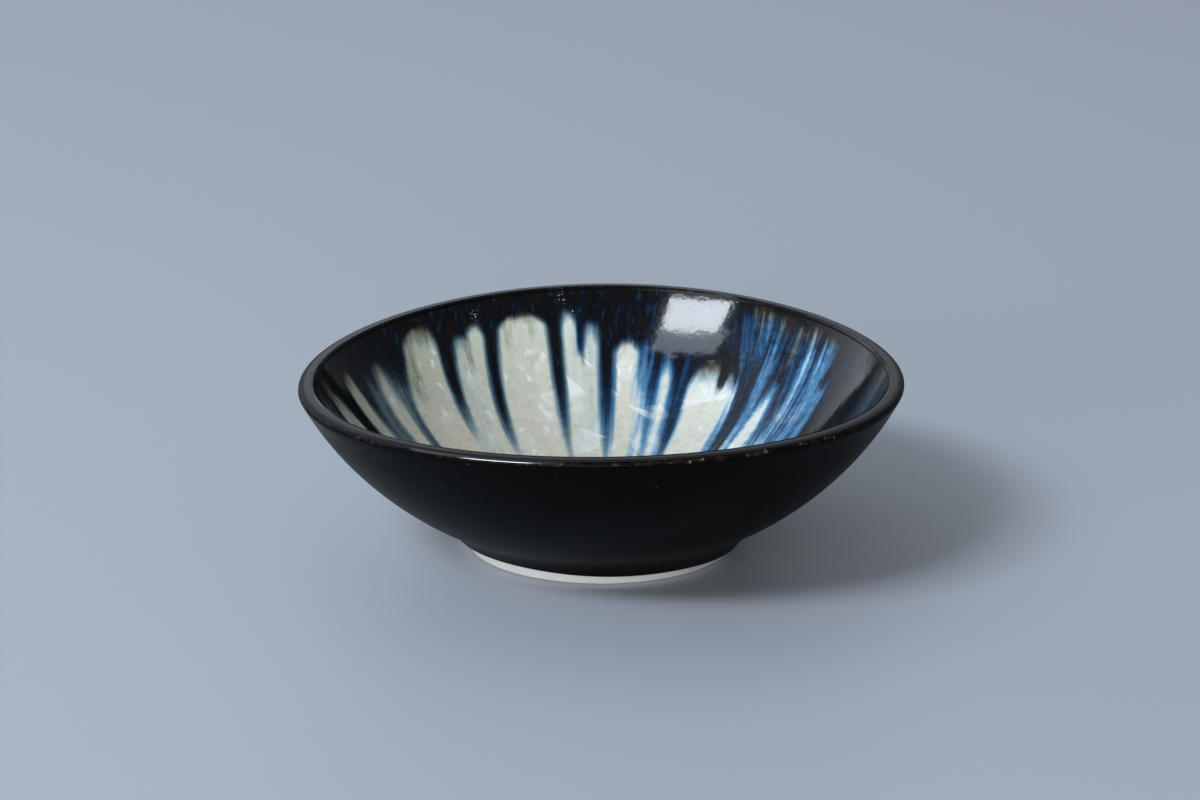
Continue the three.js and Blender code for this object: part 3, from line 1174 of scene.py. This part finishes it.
    stars: tuple[Star, ...] = tuple(Star(*row) for row in (
        (107.4, 30.5, 6.2, 1, 20, 45), (97.6, 34, 4, 0.6), (108, 17, 4, 0.7, 60, 60),
        (110.5, 23, 3.5, 0.65, 300, 70), (107, 21.5, 4, 0.7, 30, 60),
        (86.3, 22.5, 7.5, 0.75, 10, 70), (90.5, 48, 10, 1, 215, 60),
        (84.5, 48, 6.5, 0.9, 200, 70), (79, 47, 6.5, 0.85, 340, 70),
        (73, 33, 6.5, 0.7, 100, 70), (71.5, 46, 5.5, 0.8), (58.8, 30.4, 10.5, 1, 250, 90),
        (42, 39, 6.5, 0.7, 120, 70), (34, 40, 8, 0.6, 220, 80), (31, 29, 8, 0.35, 250, 70),
        (137.5, 30, 5.5, 0.5, 90, 70), (133.5, 24, 4.5, 0.4, 60, 70),
        (128.5, 40.5, 4.5, 0.6, 30, 90), (113, 45.5, 5.5, 0.6, 200, 70),
    ))
    blades: tuple[Star, ...] = tuple(Star(*row) for row in (
        (98.9, 25.3, 11, 0.95, 68, 21), (108.2, 34, 12, 1, 50, 21), (97.5, 41, 14, 0.8, 32, 8),
        (94.6, 20.5, 7, 0.75, 52, 12), (84.4, 31, 6.5, 0.95, 180, 32),
        (83.2, 33.5, 10, 0.8, 25, 8), (59.2, 30.2, 9, 1, 163, 13),
        (58.2, 30.6, 8, 0.95, 337, 14), (124.2, 20, 6, 0.5, 100, 20),
        (139, 19, 5, 0.4, 100, 20), (90.5, 50, 9, 0.8, 200, 8),
    ))
    # Painted highlights: where specks of glinting light are painted into the colour, each a bearing, depth
    # and size.
    painted_glints: tuple[tuple[float, float, float], ...] = ((118.4, 6.4, 1.7), (98.8, 4.6, 2), (96, 7.6, 1.6))
    hue_by_bearing: Table = (
        (-180, 0.35), (-120, 0.75), (-60, 0.55), (-5, 0.5), (16, 0.5), (24, 0.9), (46, 1), (54, 0.85),
        (62, 0.7), (70, 0.8), (80, 0.85), (88, 0.68), (96, 0.56), (104, 0.5), (128, 0.45), (180, 0.4),
    )
    stir_by_bearing: Table = (
        (-180, 0.1), (-110, 0.6), (-80, 0.15), (-30, 0.7), (-8, 0.05), (5, 0.02), (18, 0.05), (25, 0.6),
        (40, 0.7), (52, 0.7), (57, 0.4), (64, 0.25), (80, 0.2), (90, 0.12), (100, 0.08), (180, 0.05),
    )
    raised_by_bearing: Table = (
        (-180, 0.8), (-165, 0), (44, 0.2), (57, 1.9), (100, 2.1), (135, 2.4), (160, 1.6), (180, 0.8),
    )
    lean_by_bearing: Table = (
        (-180, 0), (20, 0.18), (36, 0.16), (45, 0.03), (54, 0.2), (60, 0), (64, -0.2), (72, 0), (90, 0),
        (120, -0.08), (150, -0.2), (180, 0),
    )

    def paint(self, bearing: np.ndarray, depth: np.ndarray, degree: np.ndarray) -> dict[str, np.ndarray]:
        """Works out the pattern at each place of the inside.

        Args:
            bearing: Bearings in degrees, from -180 to 180.
            depth: Distances below the lip.
            degree: Length of one degree at each place.

        Returns:
            The values that the finish reads, by name, and the distance inside the nearest finger's edge.
        """
        depth = depth + self.along(self.raised_by_bearing, bearing)
        inside = np.stack([finger.inside(bearing, depth, degree) for finger in self.fingers])
        nearest = inside.argmax(axis=0)
        edge = inside.max(axis=0)
        tones = np.array([finger.tone.value for finger in self.fingers])[nearest]
        veil, whiteness, top_veil, top_length = tones.T
        tips = np.array([finger.tip[1] for finger in self.fingers])[nearest]
        clear = ease(*self.clear_edge, edge)
        above_end = ease(*self.pattern_end, depth)
        stir = self.along(self.stir_by_bearing, bearing) * ease(*self.stir_start, depth) * above_end

        under_tip = np.clip(1 - (depth - tips) / top_length, 0, 1) ** self.veil_curve
        soft_in = self.soft_in + self.soft_gain * depth + self.soft_top * under_tip
        thick = ease(soft_in, -self.soft_out - under_tip, edge) * self.body(bearing, depth)
        thick *= 1 - self.stir_thins * stir
        top = top_veil * under_tip * ease(-self.soft_out, 0, edge)
        thick = np.maximum(thick, np.maximum(top, veil * clear))
        hue = self.along(self.hue_by_bearing, bearing) + self.hue_gain * ease(*self.hue_gain_depth, depth)
        warm_top = under_tip * clear * (whiteness < self.warm_below)
        hue *= (1 - warm_top) * ease(*self.olive_collar, depth)
        for streak in self.streaks:
            cover = streak.cover(bearing, depth, degree)
            if streak.veil:
                cover = cover * (thick < streak.thick)
            thick += (streak.thick - thick) * cover
            hue += (streak.hue.value - hue) * cover
        turned = np.radians(bearing + self.along(self.lean_by_bearing, bearing) * depth)
        front = ease(*self.white_front, np.abs(bearing)) * self.front_whiteness
        # Painted highlights: how strongly each place takes the specks of glinting light.
        painted_glints = [
            ease(size, 0, np.hypot((bearing - side) * degree, depth - low)) for side, low, size in self.painted_glints
        ]
        radius = self.stream_radius
        return {
            "edge": edge,
            "thick": thick,
            "hue": hue,
            "stir": stir,
            "white": np.maximum(whiteness * clear, front) * above_end,
            "flow": np.column_stack([np.cos(turned) * radius, np.sin(turned) * radius, depth]),
            "painted_glint": np.max(painted_glints, axis=0),
            **self.crystals("star", self.stars, bearing, depth, degree),
            **self.crystals("blade", self.blades, bearing, depth, degree),
        }

    @staticmethod
    def along(table: Sequence[Span], bearing: np.ndarray) -> np.ndarray:
        """Value by bearing, from a list of bearings and values."""
        bearings, values = zip(*table)
        return np.interp(bearing, bearings, values, period=360)

    def body(self, bearing: np.ndarray, depth: np.ndarray) -> np.ndarray:
        """Thickness of the dark runs, from 1 where they are black to 0 where they have faded out.

        Args:
            bearing: Bearings in degrees.
            depth: Distances below the lip.

        Returns:
            The thickness.
        """
        black_to = self.along([(end.bearing, end.black_to) for end in self.run_ends], bearing)
        gone_by = self.along([(end.bearing, end.gone_by) for end in self.run_ends], bearing)
        return 1 - ease(0, 1, (depth - black_to) / (gone_by - black_to))

    def crystals(
        self, kind: str, stars: Sequence[Star], bearing: np.ndarray, depth: np.ndarray, degree: np.ndarray,
    ) -> dict[str, np.ndarray]:
        """Lays out the nearest crystal of a kind at each place.

        Args:
            kind: Name that the mesh keeps the layout under.
            stars: The crystals of that kind.
            bearing: Bearings in degrees.
            depth: Distances below the lip.
            degree: Length of one degree at each place.

        Returns:
            Place on the crystal in lengths of its needles, its aim and its glow.
        """
        across = np.stack([turn(bearing, star.bearing) * degree / star.reach for star in stars])
        down = np.stack([(depth - star.depth) / star.reach for star in stars])
        away = np.hypot(across, down)
        nearest = away.argmin(axis=0)
        first, second = np.sort(away, axis=0)[:2]
        each = np.arange(len(bearing))
        aims = np.radians([star.aim for star in stars])
        limits = np.cos(np.radians([star.spread for star in stars]))
        aim = np.stack([np.cos(aims), np.sin(aims), limits], axis=1)[nearest]
        glow = np.array([star.glow for star in stars])[nearest] * ease(0.0, self.crystal_gap, second - first)
        seed = nearest * self.seed_spacing
        place = np.stack([across[nearest, each], down[nearest, each], seed], axis=1)
        return {kind: place, f"{kind}_aim": aim, f"{kind}_glow": glow}


@dataclass(frozen=True)
class Spun:
    """A spun surface, point by point.

    Attributes:
        mesh: The mesh itself.
        places: Points in millimetres.
        run: Distance along the face at each point.
        free: 1 at the points that show and 0 at the bonded ones.
    """

    mesh: Mesh
    places: np.ndarray
    run: np.ndarray
    free: np.ndarray

    @classmethod
    def read(cls, mesh: Mesh) -> "Spun":
        """Reads a spun mesh with what its points carry."""
        run, free = (read(mesh.attributes[name].data, "value") for name in ("run", "free"))
        return cls(mesh, read(mesh.vertices, "co", width=3) / MM, run, free)


@dataclass
class TurnedLayer:
    """A layer of the bowl that is drawn as a profile and spun round the axis.

    Attributes:
        name: Name of the piece.
        stands_for: CAD nodes that it replaces.
        slot: Name of a material slot; not used.
        form: The bowl's form.
        columns: Steps of the spin.
        smooth_below: Angle between faces up to which they are shaded as one.
    """

    name: str
    stands_for: tuple[str, ...]
    slot: str
    form: BowlForm = field(default_factory=BowlForm)
    columns: int = 360
    smooth_below: float = 50.0

    def stations(self) -> list[Station]:
        """Points of the profile, in order."""
        raise NotImplementedError

    def shape(self, spun: Spun) -> np.ndarray:
        """Works the spun surface over by hand; this layer is left as spun."""
        return spun.places

    def materials(self) -> list[Material]:
        """The finishes of the layer."""
        raise NotImplementedError

    def draw(self, stations: Sequence[Station]) -> Object:
        """Draws the profile, one extruded vertex after another.

        Args:
            stations: Points of the profile, in order.

        Returns:
            The object that holds the drawn line.
        """
        bpy.ops.object.select_all(action="DESELECT")
        bpy.ops.mesh.primitive_plane_add(size=MM)
        piece = bpy.context.object
        piece.name = self.name
        piece.data.name = self.name
        bpy.ops.object.mode_set(mode="EDIT")
        bpy.ops.mesh.select_mode(type="VERT")
        bpy.ops.mesh.select_all(action="SELECT")
        bpy.ops.mesh.merge(type="CENTER")
        here = Vector((stations[0].place.x, 0.0, stations[0].place.y)) * MM
        bpy.ops.transform.translate(value=here)
        for station in stations[1:]:
            there = Vector((station.place.x, 0.0, station.place.y)) * MM
            bpy.ops.mesh.extrude_region_move(TRANSFORM_OT_translate={"value": there - here})
            here = there
        bpy.ops.object.mode_set(mode="OBJECT")
        for name in ("run", "free"):
            values = [getattr(station, name) for station in stations]
            piece.data.attributes.new(name, "FLOAT", "POINT").data.foreach_set("value", values)
        return piece

    def spin(self) -> None:
        """Spins the drawn line into a closed body with its faces outwards."""
        bpy.ops.object.mode_set(mode="EDIT")
        bpy.ops.mesh.select_all(action="SELECT")
        bpy.ops.mesh.spin(steps=self.columns, angle=math.tau, center=(0, 0, 0), axis=(0, 0, 1))
        bpy.ops.mesh.select_all(action="SELECT")
        bpy.ops.mesh.remove_doubles(threshold=MERGE_DISTANCE)
        bpy.ops.mesh.normals_make_consistent(inside=False)
        bpy.ops.object.mode_set(mode="OBJECT")

    def build(self) -> None:
        """Makes the piece, dresses it and hangs it on the frame."""
        piece = self.draw(self.stations())
        self.spin()
        mesh = piece.data
        settled = self.form.settle(self.shape(Spun.read(mesh)))
        mesh.vertices.foreach_set("co", (settled * MM).astype(np.float32).ravel())
        mesh.update()
        bpy.ops.object.shade_smooth_by_angle(angle=math.radians(self.smooth_below))
        for finish in self.materials():
            mesh.materials.append(finish)
        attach(piece, "root")
        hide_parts(*self.stands_for)
        log.info("%s: %d vertices, %d faces", self.name, len(mesh.vertices), len(mesh.polygons))


@dataclass
class ClayBody(TurnedLayer):
    """The thrown clay: recess, foot ring, cove, wall, lip and well."""

    columns: int = 256
    cove_rows: int = 24
    wall_rows: int = 30
    inner_rows: int = 30
    recess_round: float = 0.8

    def stations(self) -> list[Station]:
        """Draws up the profile.

        Returns:
            Its points, from the middle of the recess round to the middle of the well.
        """
        form = self.form
        edge_slope = math.acos((form.foot_edge - form.cove_centre.y) / form.cove_radius)
        cove = spaced(edge_slope, form.start_slope, self.cove_rows)
        lip = form.lip_slope_at(form.clay_outer, form.skin)
        wall = spaced(form.start_slope, lip, self.wall_rows)[1:]
        runs = spaced(0.0, form.whole_run, self.inner_rows)
        outline = [
            *self.foot(),
            *arc_points(form.cove_centre, -form.cove_radius, cove),
            *arc_points(form.wall_centre, form.clay_outer, wall),
            *(form.inside_point(form.clay_inner, run) for run in runs),
        ]
        return [Station(point) for point in outline]

    def foot(self) -> list[Vector]:
        """Points of the recess and the foot ring, with corners softened as by a wet sponge.

        Returns:
            The points, from the middle of the recess to the ring's outer edge.
        """
        form = self.form
        ring_outer = form.foot_diameter / 2 - form.foot_edge
        ring_inner = form.foot_diameter / 2 - form.foot_ring
        recess_edge = ring_inner - form.recess_draft
        deep = form.recess_depth
        soft = self.recess_round
        points = (
            (0.0, deep), (recess_edge * 0.5, deep), (recess_edge - soft, deep),
            (recess_edge - soft * 0.3, deep - soft * 0.18), (recess_edge + 0.1, deep - soft * 0.6),
            (ring_inner - 0.25, 0.45), (ring_inner - 0.05, 0.12), (ring_inner + 0.25, 0.0),
            (ring_outer - 0.25, 0.0), (ring_outer + 0.12, 0.1),
        )
        return [Vector(point) for point in points]

    def materials(self) -> list[Material]:
        """Bare fired clay."""
        return [BarePorcelain().material()]


class BlackPart(IntEnum):
    """Which finish a face of the black coat has."""

    WALL = 0
    LIP = 1
    WET_EDGE = 2


@dataclass
class OuterGlaze(TurnedLayer):
    """The black coat, from its wavy line over the foot up the outside and over the lip.

    Attributes:
        sunk: How far the bonded face lies in the clay.
        bead: Slope in radians over which the coat's lower edge is rounded.
        lip_tuck: How far the coat goes on down inside.
        far: Distance from the lip's edge past which none is noted.
    """

    columns: int = 400
    cove_rows: int = 22
    wall_rows: int = 70
    land_rows: int = 10
    round_rows: int = 10
    bonded_rows: int = 8
    sunk: float = 0.08
    bead: float = 0.03
    lip_round: float = 1.55
    lip_soft: float = 0.7
    lip_tuck: float = 0.3
    land_dome: float = 0.05
    far: float = 9.0
    wet_reach: float = 0.3
    wet_bearing: float = -111.0
    wet_spread: float = 15.0

    def stations(self) -> list[Station]:
        """Draws up the closed profile.

        Returns:
            Its points, starting where the glaze line meets the clay.
        """
        form = self.form
        corner = form.lip_point(form.glaze_free, 0.0)
        inner_edge = form.lip_point(form.run_free, 0.0)
        wall_top = form.lip_slope_at(form.glaze_free, 0.0) - self.lip_round / form.glaze_free
        wall_end = arc_point(form.wall_centre, form.glaze_free, wall_top)
        over_lip = (inner_edge - corner).normalized() - (wall_end - corner).normalized()
        half = (inner_edge - corner).angle(wall_end - corner) / 2
        cut = self.lip_round * (1 / math.cos(half) - math.tan(half))
        stations = []
        for point in [*self.outside(wall_top), *self.lip(wall_end, corner, inner_edge)]:
            away = point - corner
            run = min(max(away.length - cut, 0.0), self.far)
            stations.append(Station(point, math.copysign(run, -away.dot(over_lip))))
        stations += [Station(point, self.far, 0.0) for point in self.bonded_side()]
        return [*stations, stations[0]]

    def line_slope(self, radius: float, height: float) -> float:
        """Slope of the cove's arc of some radius at a height."""
        return math.acos((height - self.form.cove_centre.y) / radius)

    def outside(self, wall_top: float) -> list[Vector]:
        """Points of the outer face.

        Args:
            wall_top: Slope in radians where the lip's rounding starts.

        Returns:
            The points, from the glaze line to the top of the wall.
        """
        form = self.form
        line = self.line_slope(form.cove_radius - form.skin, form.glaze_line)
        points = []
        for way_round in spaced(0.0, math.pi / 2, self.round_rows)[:-1]:
            lift = -self.sunk + (form.skin + self.sunk) * math.sin(way_round)
            slope = line - self.bead * (1 - math.cos(way_round))
            points.append(arc_point(form.cove_centre, lift - form.cove_radius, slope))
        cove = spaced(line - self.bead, form.start_slope, self.cove_rows)[:-1]
        points += arc_points(form.cove_centre, form.skin - form.cove_radius, cove)
        wall = spaced(form.start_slope, wall_top, self.wall_rows)[:-1]
        return points + arc_points(form.wall_centre, form.glaze_free, wall)

    def lip(self, wall_end: Vector, corner: Vector, inner_edge: Vector) -> list[Vector]:
        """Points of the rounded lip.

        Args:
            wall_end: Where the outer rounding starts.
            corner: The lip's outer edge before it is rounded.
            inner_edge: The lip's inner edge before it is rounded.

        Returns:
            The points, from the top of the wall over the lip and a little way down inside.
        """
        inner_end = self.form.lip_point(self.form.run_free, self.lip_soft + self.lip_tuck)
        land_start = corner + (inner_edge - corner).normalized() * self.lip_round
        land_end = inner_edge + (corner - inner_edge).normalized() * self.lip_soft
        up = Vector((inner_edge.y - corner.y, corner.x - inner_edge.x)).normalized()
        land = []
        for share in spaced(0.0, 1.0, self.land_rows)[1:-1]:
            dome = self.land_dome * math.sin(math.pi * share) ** 2
            land.append(land_start.lerp(land_end, share) + up * dome)
        return [
            *self.rounded(wall_end, corner, inner_edge, self.lip_round),
            *land,
            *self.rounded(corner, inner_edge, inner_end, self.lip_soft),
            inner_end,
        ]

    def rounded(self, before: Vector, corner: Vector, after: Vector, distance: float) -> list[Vector]:
        """Rounds a corner of the profile with an arc.

        Args:
            before: Point before the corner.
            corner: The corner.
            after: Point after the corner.
            distance: How far from the corner the rounding starts and ends.

        Returns:
            The points of the rounding.
        """
        start = corner + (before - corner).normalized() * distance
        end = corner + (after - corner).normalized() * distance
        pull = math.cos((corner - before).angle(after - corner) / 2)
        points = []
        for share in spaced(0.0, 1.0, self.round_rows):
            weights = ((1 - share) ** 2, 2 * pull * share * (1 - share), share ** 2)
            point = start * weights[0] + corner * weights[1] + end * weights[2]
            points.append(point / sum(weights))
        return points

    def bonded_side(self) -> list[Vector]:
        """Draws up the face against the clay.

        Returns:
            Its points, from the lip down to the glaze line.
        """
        form = self.form
        deep = form.clay_outer - self.sunk
        top = form.lip_slope_at(deep, form.skin + self.sunk)
        line = self.line_slope(form.cove_radius, form.glaze_line)
        wall = spaced(top, form.start_slope, self.bonded_rows)
        cove = spaced(form.start_slope, line, self.bonded_rows)[1:-1]
        return [
            form.lip_point(form.clay_inner + self.sunk, form.skin + self.sunk),
            *arc_points(form.wall_centre, deep, wall),
            *arc_points(form.cove_centre, -form.cove_radius - self.sunk, cove),
        ]

    def shape(self, spun: Spun) -> np.ndarray:
        """Makes the glaze line wavy and gives each face its finish.

        Args:
            spun: The spun surface.

        Returns:
            The moved points.
        """
        form = self.form
        places = spun.places
        bearing = np.arctan2(places[:, 1], places[:, 0])
        self.choose_finishes(spun, np.degrees(bearing))
        across = np.hypot(places[:, 0], places[:, 1])
        height = form.glaze_line - form.glaze_line_tilt * np.cos(bearing)
        height += form.glaze_line_wave * np.sin(form.glaze_line_waves * bearing)
        aside = form.cove_centre.x - across
        above = places[:, 2] - form.cove_centre.y
        radius = np.hypot(aside, above)
        slope = np.arctan2(aside, above)
        nominal = np.arccos((form.glaze_line - form.cove_centre.y) / radius)
        wanted = np.arccos((height - form.cove_centre.y) / radius)
        stretch = (wanted - form.start_slope) / (nominal - form.start_slope)
        moved = form.start_slope + (slope - form.start_slope) * stretch
        in_cove = (slope > form.start_slope) & (places[:, 2] < form.cove_end.y + form.skin)
        across = np.where(in_cove, form.cove_centre.x - radius * np.sin(moved), across)
        up = np.where(in_cove, form.cove_centre.y + radius * np.cos(moved), places[:, 2])
        return np.stack([across * np.cos(bearing), across * np.sin(bearing), up], axis=1)

    def choose_finishes(self, spun: Spun, bearing: np.ndarray) -> None:
        """Gives the faces of the wall, the lip and its wet edge their own finishes.

        Args:
            spun: The spun surface.
            bearing: Bearing of each point in degrees.
        """
        corners = read(spun.mesh.loops, "vertex_index", int)
        starts = read(spun.mesh.polygons, "loop_start", int)
        wet_side = np.abs(bearing[corners[starts]] - self.wet_bearing) < self.wet_spread
        middle = np.add.reduceat(spun.run[corners], starts) / np.diff(np.append(starts, len(corners)))
        wet = wet_side & (middle > -self.wet_reach)
        finish = np.where(middle > 0.0, BlackPart.WALL, np.where(wet, BlackPart.WET_EDGE, BlackPart.LIP))
        spun.mesh.polygons.foreach_set("material_index", finish.astype(np.int32))

    def materials(self) -> list[Material]:
        """Satin black for the wall, and the same with more shine for the lip and its wet edge."""
        finishes = (SatinBlack(), SatinBlack("lip_black", 0.1), SatinBlack("wet_black", 0.9))
        return [finish.material() for finish in finishes]


@dataclass
class InnerGlaze(TurnedLayer):
    """The glazes inside, fused into one sheet: cream with dark runs standing a little proud.

    Attributes:
        sunk: How far the bonded face lies in the clay.
        tuck: How far the sheet goes up under the black coat's inner edge.
        under_lip: How far its face lies behind that of the black coat.
        collar_fade: Distances from the lip over which the face sinks from the collar's to the cream's.
        relief_edge: Distances inside a finger's edge over which the dark runs rise.
        relief_start: Distances from the lip over which that rise sets in.
    """

    columns: int = 480
    wall_rows: int = 104
    well_rows: int = 22
    floor_rows: int = 22
    bonded_rows: int = 14
    sunk: float = 0.08
    tuck: float = 0.35
    under_lip: float = 0.02
    collar_fade: Span = (4.0, 40.0)
    run_relief: float = 0.04
    relief_edge: Span = (1.2, -1.6)
    relief_start: Span = (4.0, 12.0)
    pattern: RunPattern = field(default_factory=RunPattern)

    def stations(self) -> list[Station]:
        """Draws up the profile.

        Returns:
            Its points, down the face from the lip and back up behind it.
        """
        form = self.form
        level = form.wall_run + form.well_run
        runs = [
            *spaced(0.0, form.wall_run, self.wall_rows)[:-1],
            *spaced(form.wall_run, level, self.well_rows)[:-1],
            *spaced(level, form.whole_run, self.floor_rows),
        ]
        runs[0] = -self.tuck
        face = [Station(form.inside_point(self.face_radius(run), run), run) for run in runs]
        bonded = form.clay_inner + self.sunk
        back = spaced(form.whole_run, 0.0, self.bonded_rows)
        behind = [Station(form.inside_point(bonded, run), run, 0.0) for run in back]
        return [*face, *behind, face[0]]

    def face_radius(self, run: float) -> float:
        """Radius of the face: proud under the lip, where the dark coat is whole, and less lower down."""
        top = self.form.run_free + self.under_lip
        return top + (self.form.liner_free - top) * float(ease(*self.collar_fade, np.array(run)))

    def shape(self, spun: Spun) -> np.ndarray:
        """Raises the dark runs and lays out the pattern that the finish reads.

        Args:
            spun: The spun surface.

        Returns:
            The moved points.
        """
        places = spun.places
        bearing = np.degrees(np.arctan2(places[:, 1], places[:, 0]))
        across = np.hypot(places[:, 0], places[:, 1])
        painted = self.pattern.paint(bearing, spun.run, np.radians(across))
        proud = painted["thick"] * ease(*self.relief_edge, painted.pop("edge"))
        lift = self.run_relief * proud * ease(*self.relief_start, spun.run) * spun.free
        for name, values in painted.items():
            kind, key = ("FLOAT_VECTOR", "vector") if values.ndim == 2 else ("FLOAT", "value")
            layer = spun.mesh.attributes.new(name, kind, "POINT")
            layer.data.foreach_set(key, values.astype(np.float32).ravel())
        centre = self.form.wall_centre
        towards = np.stack([centre.x - across, centre.y - places[:, 2]], axis=1)
        towards /= np.linalg.norm(towards, axis=1)[:, None]
        inward = across + lift * towards[:, 0]
        turned = np.radians(bearing)
        height = places[:, 2] + lift * towards[:, 1]
        return np.stack([inward * np.cos(turned), inward * np.sin(turned), height], axis=1)

    def materials(self) -> list[Material]:
        """Cream glaze with dark runs and crystals."""
        return [RunGlaze().material()]


@dataclass(frozen=True)
class Lamp:
    """A soft upright rectangle of light.

    Attributes:
        name: Name of the light.
        place: Where its middle is, in metres.
        azimuth: Direction that it faces from, 0 the camera's side and positive to the right.
        size: Width and height in metres.
        radiance: How bright its face is.
        tint: Its colour.
    """

    name: str
    place: tuple[float, float, float]
    azimuth: float
    size: Span
    radiance: float
    tint: tuple[float, float, float] = (1.0, 1.0, 1.0)

    def hang(self) -> None:
        """Puts the light up."""
        facing = (math.radians(90), 0.0, math.radians(self.azimuth))
        bpy.ops.object.light_add(type="AREA", location=self.place, rotation=facing)
        lamp = bpy.context.object
        lamp.name = self.name
        lamp.visible_camera = False
        lamp.data.shape = "RECTANGLE"
        lamp.data.size, lamp.data.size_y = self.size
        lamp.data.energy = self.radiance * math.pi * self.size[0] * self.size[1]
        lamp.data.color = self.tint


@dataclass
class Studio:
    """Pale floor, soft light and the camera."""

    floor_tone: str = "#b3bac5"
    floor_roughness: float = 0.55
    floor_size: float = 8.0
    sky: tuple[float, float, float, float] = (1.2, 1.29, 1.4, 1.0)
    sky_bright_side: tuple[float, float, float] = (-0.75, 0.66, 0.0)
    sky_side_change: Span = (0.0, 0.9)
    sky_dim: float = 0.1
    sky_bands: Table = (
        (0.0, 0.1), (0.09, 0.2), (0.17, 1.0), (0.33, 0.7), (0.42, 0.2), (0.55, 0.2), (0.68, 0.9), (1.0, 0.8),
    )
    camera_place: tuple[float, float, float] = (-0.00028, -1.0, 0.33838)
    camera_pitch: float = 16.7771
    lens: float = 126.677
    lamps: tuple[Lamp, ...] = (
        Lamp("window", (-1.278, -1.169, 1.56), -25.0, (0.94, 0.58), 25.5, (0.9, 0.98, 1.06)),
        Lamp("window_top", (-1.365, -1.129, 2.104), -25.0, (1.2, 0.496), 5.0, (0.84, 0.98, 1.14)),
        Lamp("front_fill", (-0.75, -1.85, 0.36), -22.0, (2.6, 0.72), 5.2),
    )

    def build(self) -> None:
        """Sets up the floor, the light and the camera."""
        self.lay_floor()
        for lamp in self.lamps:
            lamp.hang()
        self.light_sky()
        bpy.context.scene.view_settings.view_transform = "Standard"
        self.set_camera()

    def light_sky(self) -> None:
        """Lights the room softly all round, most from bands of sky behind on the left."""
        world = bpy.data.worlds.new("studio")
        bench = NodeBench(world, "ShaderNodeBackground", "ShaderNodeOutputWorld")
        direction = bench.node("ShaderNodeTexCoord").outputs["Generated"]
        facing = bench.vector("DOT_PRODUCT", direction, self.sky_bright_side)
        side = bench.step(facing, *self.sky_side_change)
        height = bench.node("ShaderNodeSeparateXYZ", {0: direction}).outputs["Z"]
        bands = bench.ramp(height, [(place, (level, level, level, 1.0)) for place, level in self.sky_bands])
        bench.set_shader(Color=self.sky, Strength=bench.math("MULTIPLY_ADD", side, bands, self.sky_dim))
        bpy.context.scene.world = world

    def lay_floor(self) -> None:
        """Lays the plain pale floor."""
        bpy.ops.object.select_all(action="DESELECT")
        bpy.ops.mesh.primitive_plane_add(size=self.floor_size)
        floor = bpy.context.object
        floor.name = "floor"
        bench = NodeBench.for_material("floor")
        bench.set_shader(Base_Color=self.floor_tone, Roughness=self.floor_roughness)
        floor.data.materials.append(bench.owner)

    def set_camera(self) -> None:
        """Sets the camera at the viewing angle."""
        tilt = (math.radians(90 - self.camera_pitch), 0.0, 0.0)
        bpy.ops.object.camera_add(location=self.camera_place, rotation=tilt)
        camera = bpy.context.object
        camera.data.lens = self.lens
        bpy.context.scene.camera = camera


def main() -> None:
    """Builds the bowl's layers and the studio, and logs each layer's vertex and face counts."""
    logging.basicConfig(level=logging.INFO, format="%(name)s %(message)s")
    layers = (
        ClayBody("clay_body", ("porcelain_body",), "bare_porcelain"),
        OuterGlaze("black_coat", ("outer_glaze",), "black_glaze"),
        InnerGlaze("inner_coat", ("liner_glaze", "rim_run_glaze"), "cream_glaze"),
    )
    for layer in layers:
        layer.build()
    Studio().build()


if __name__ == "__main__":
    main()
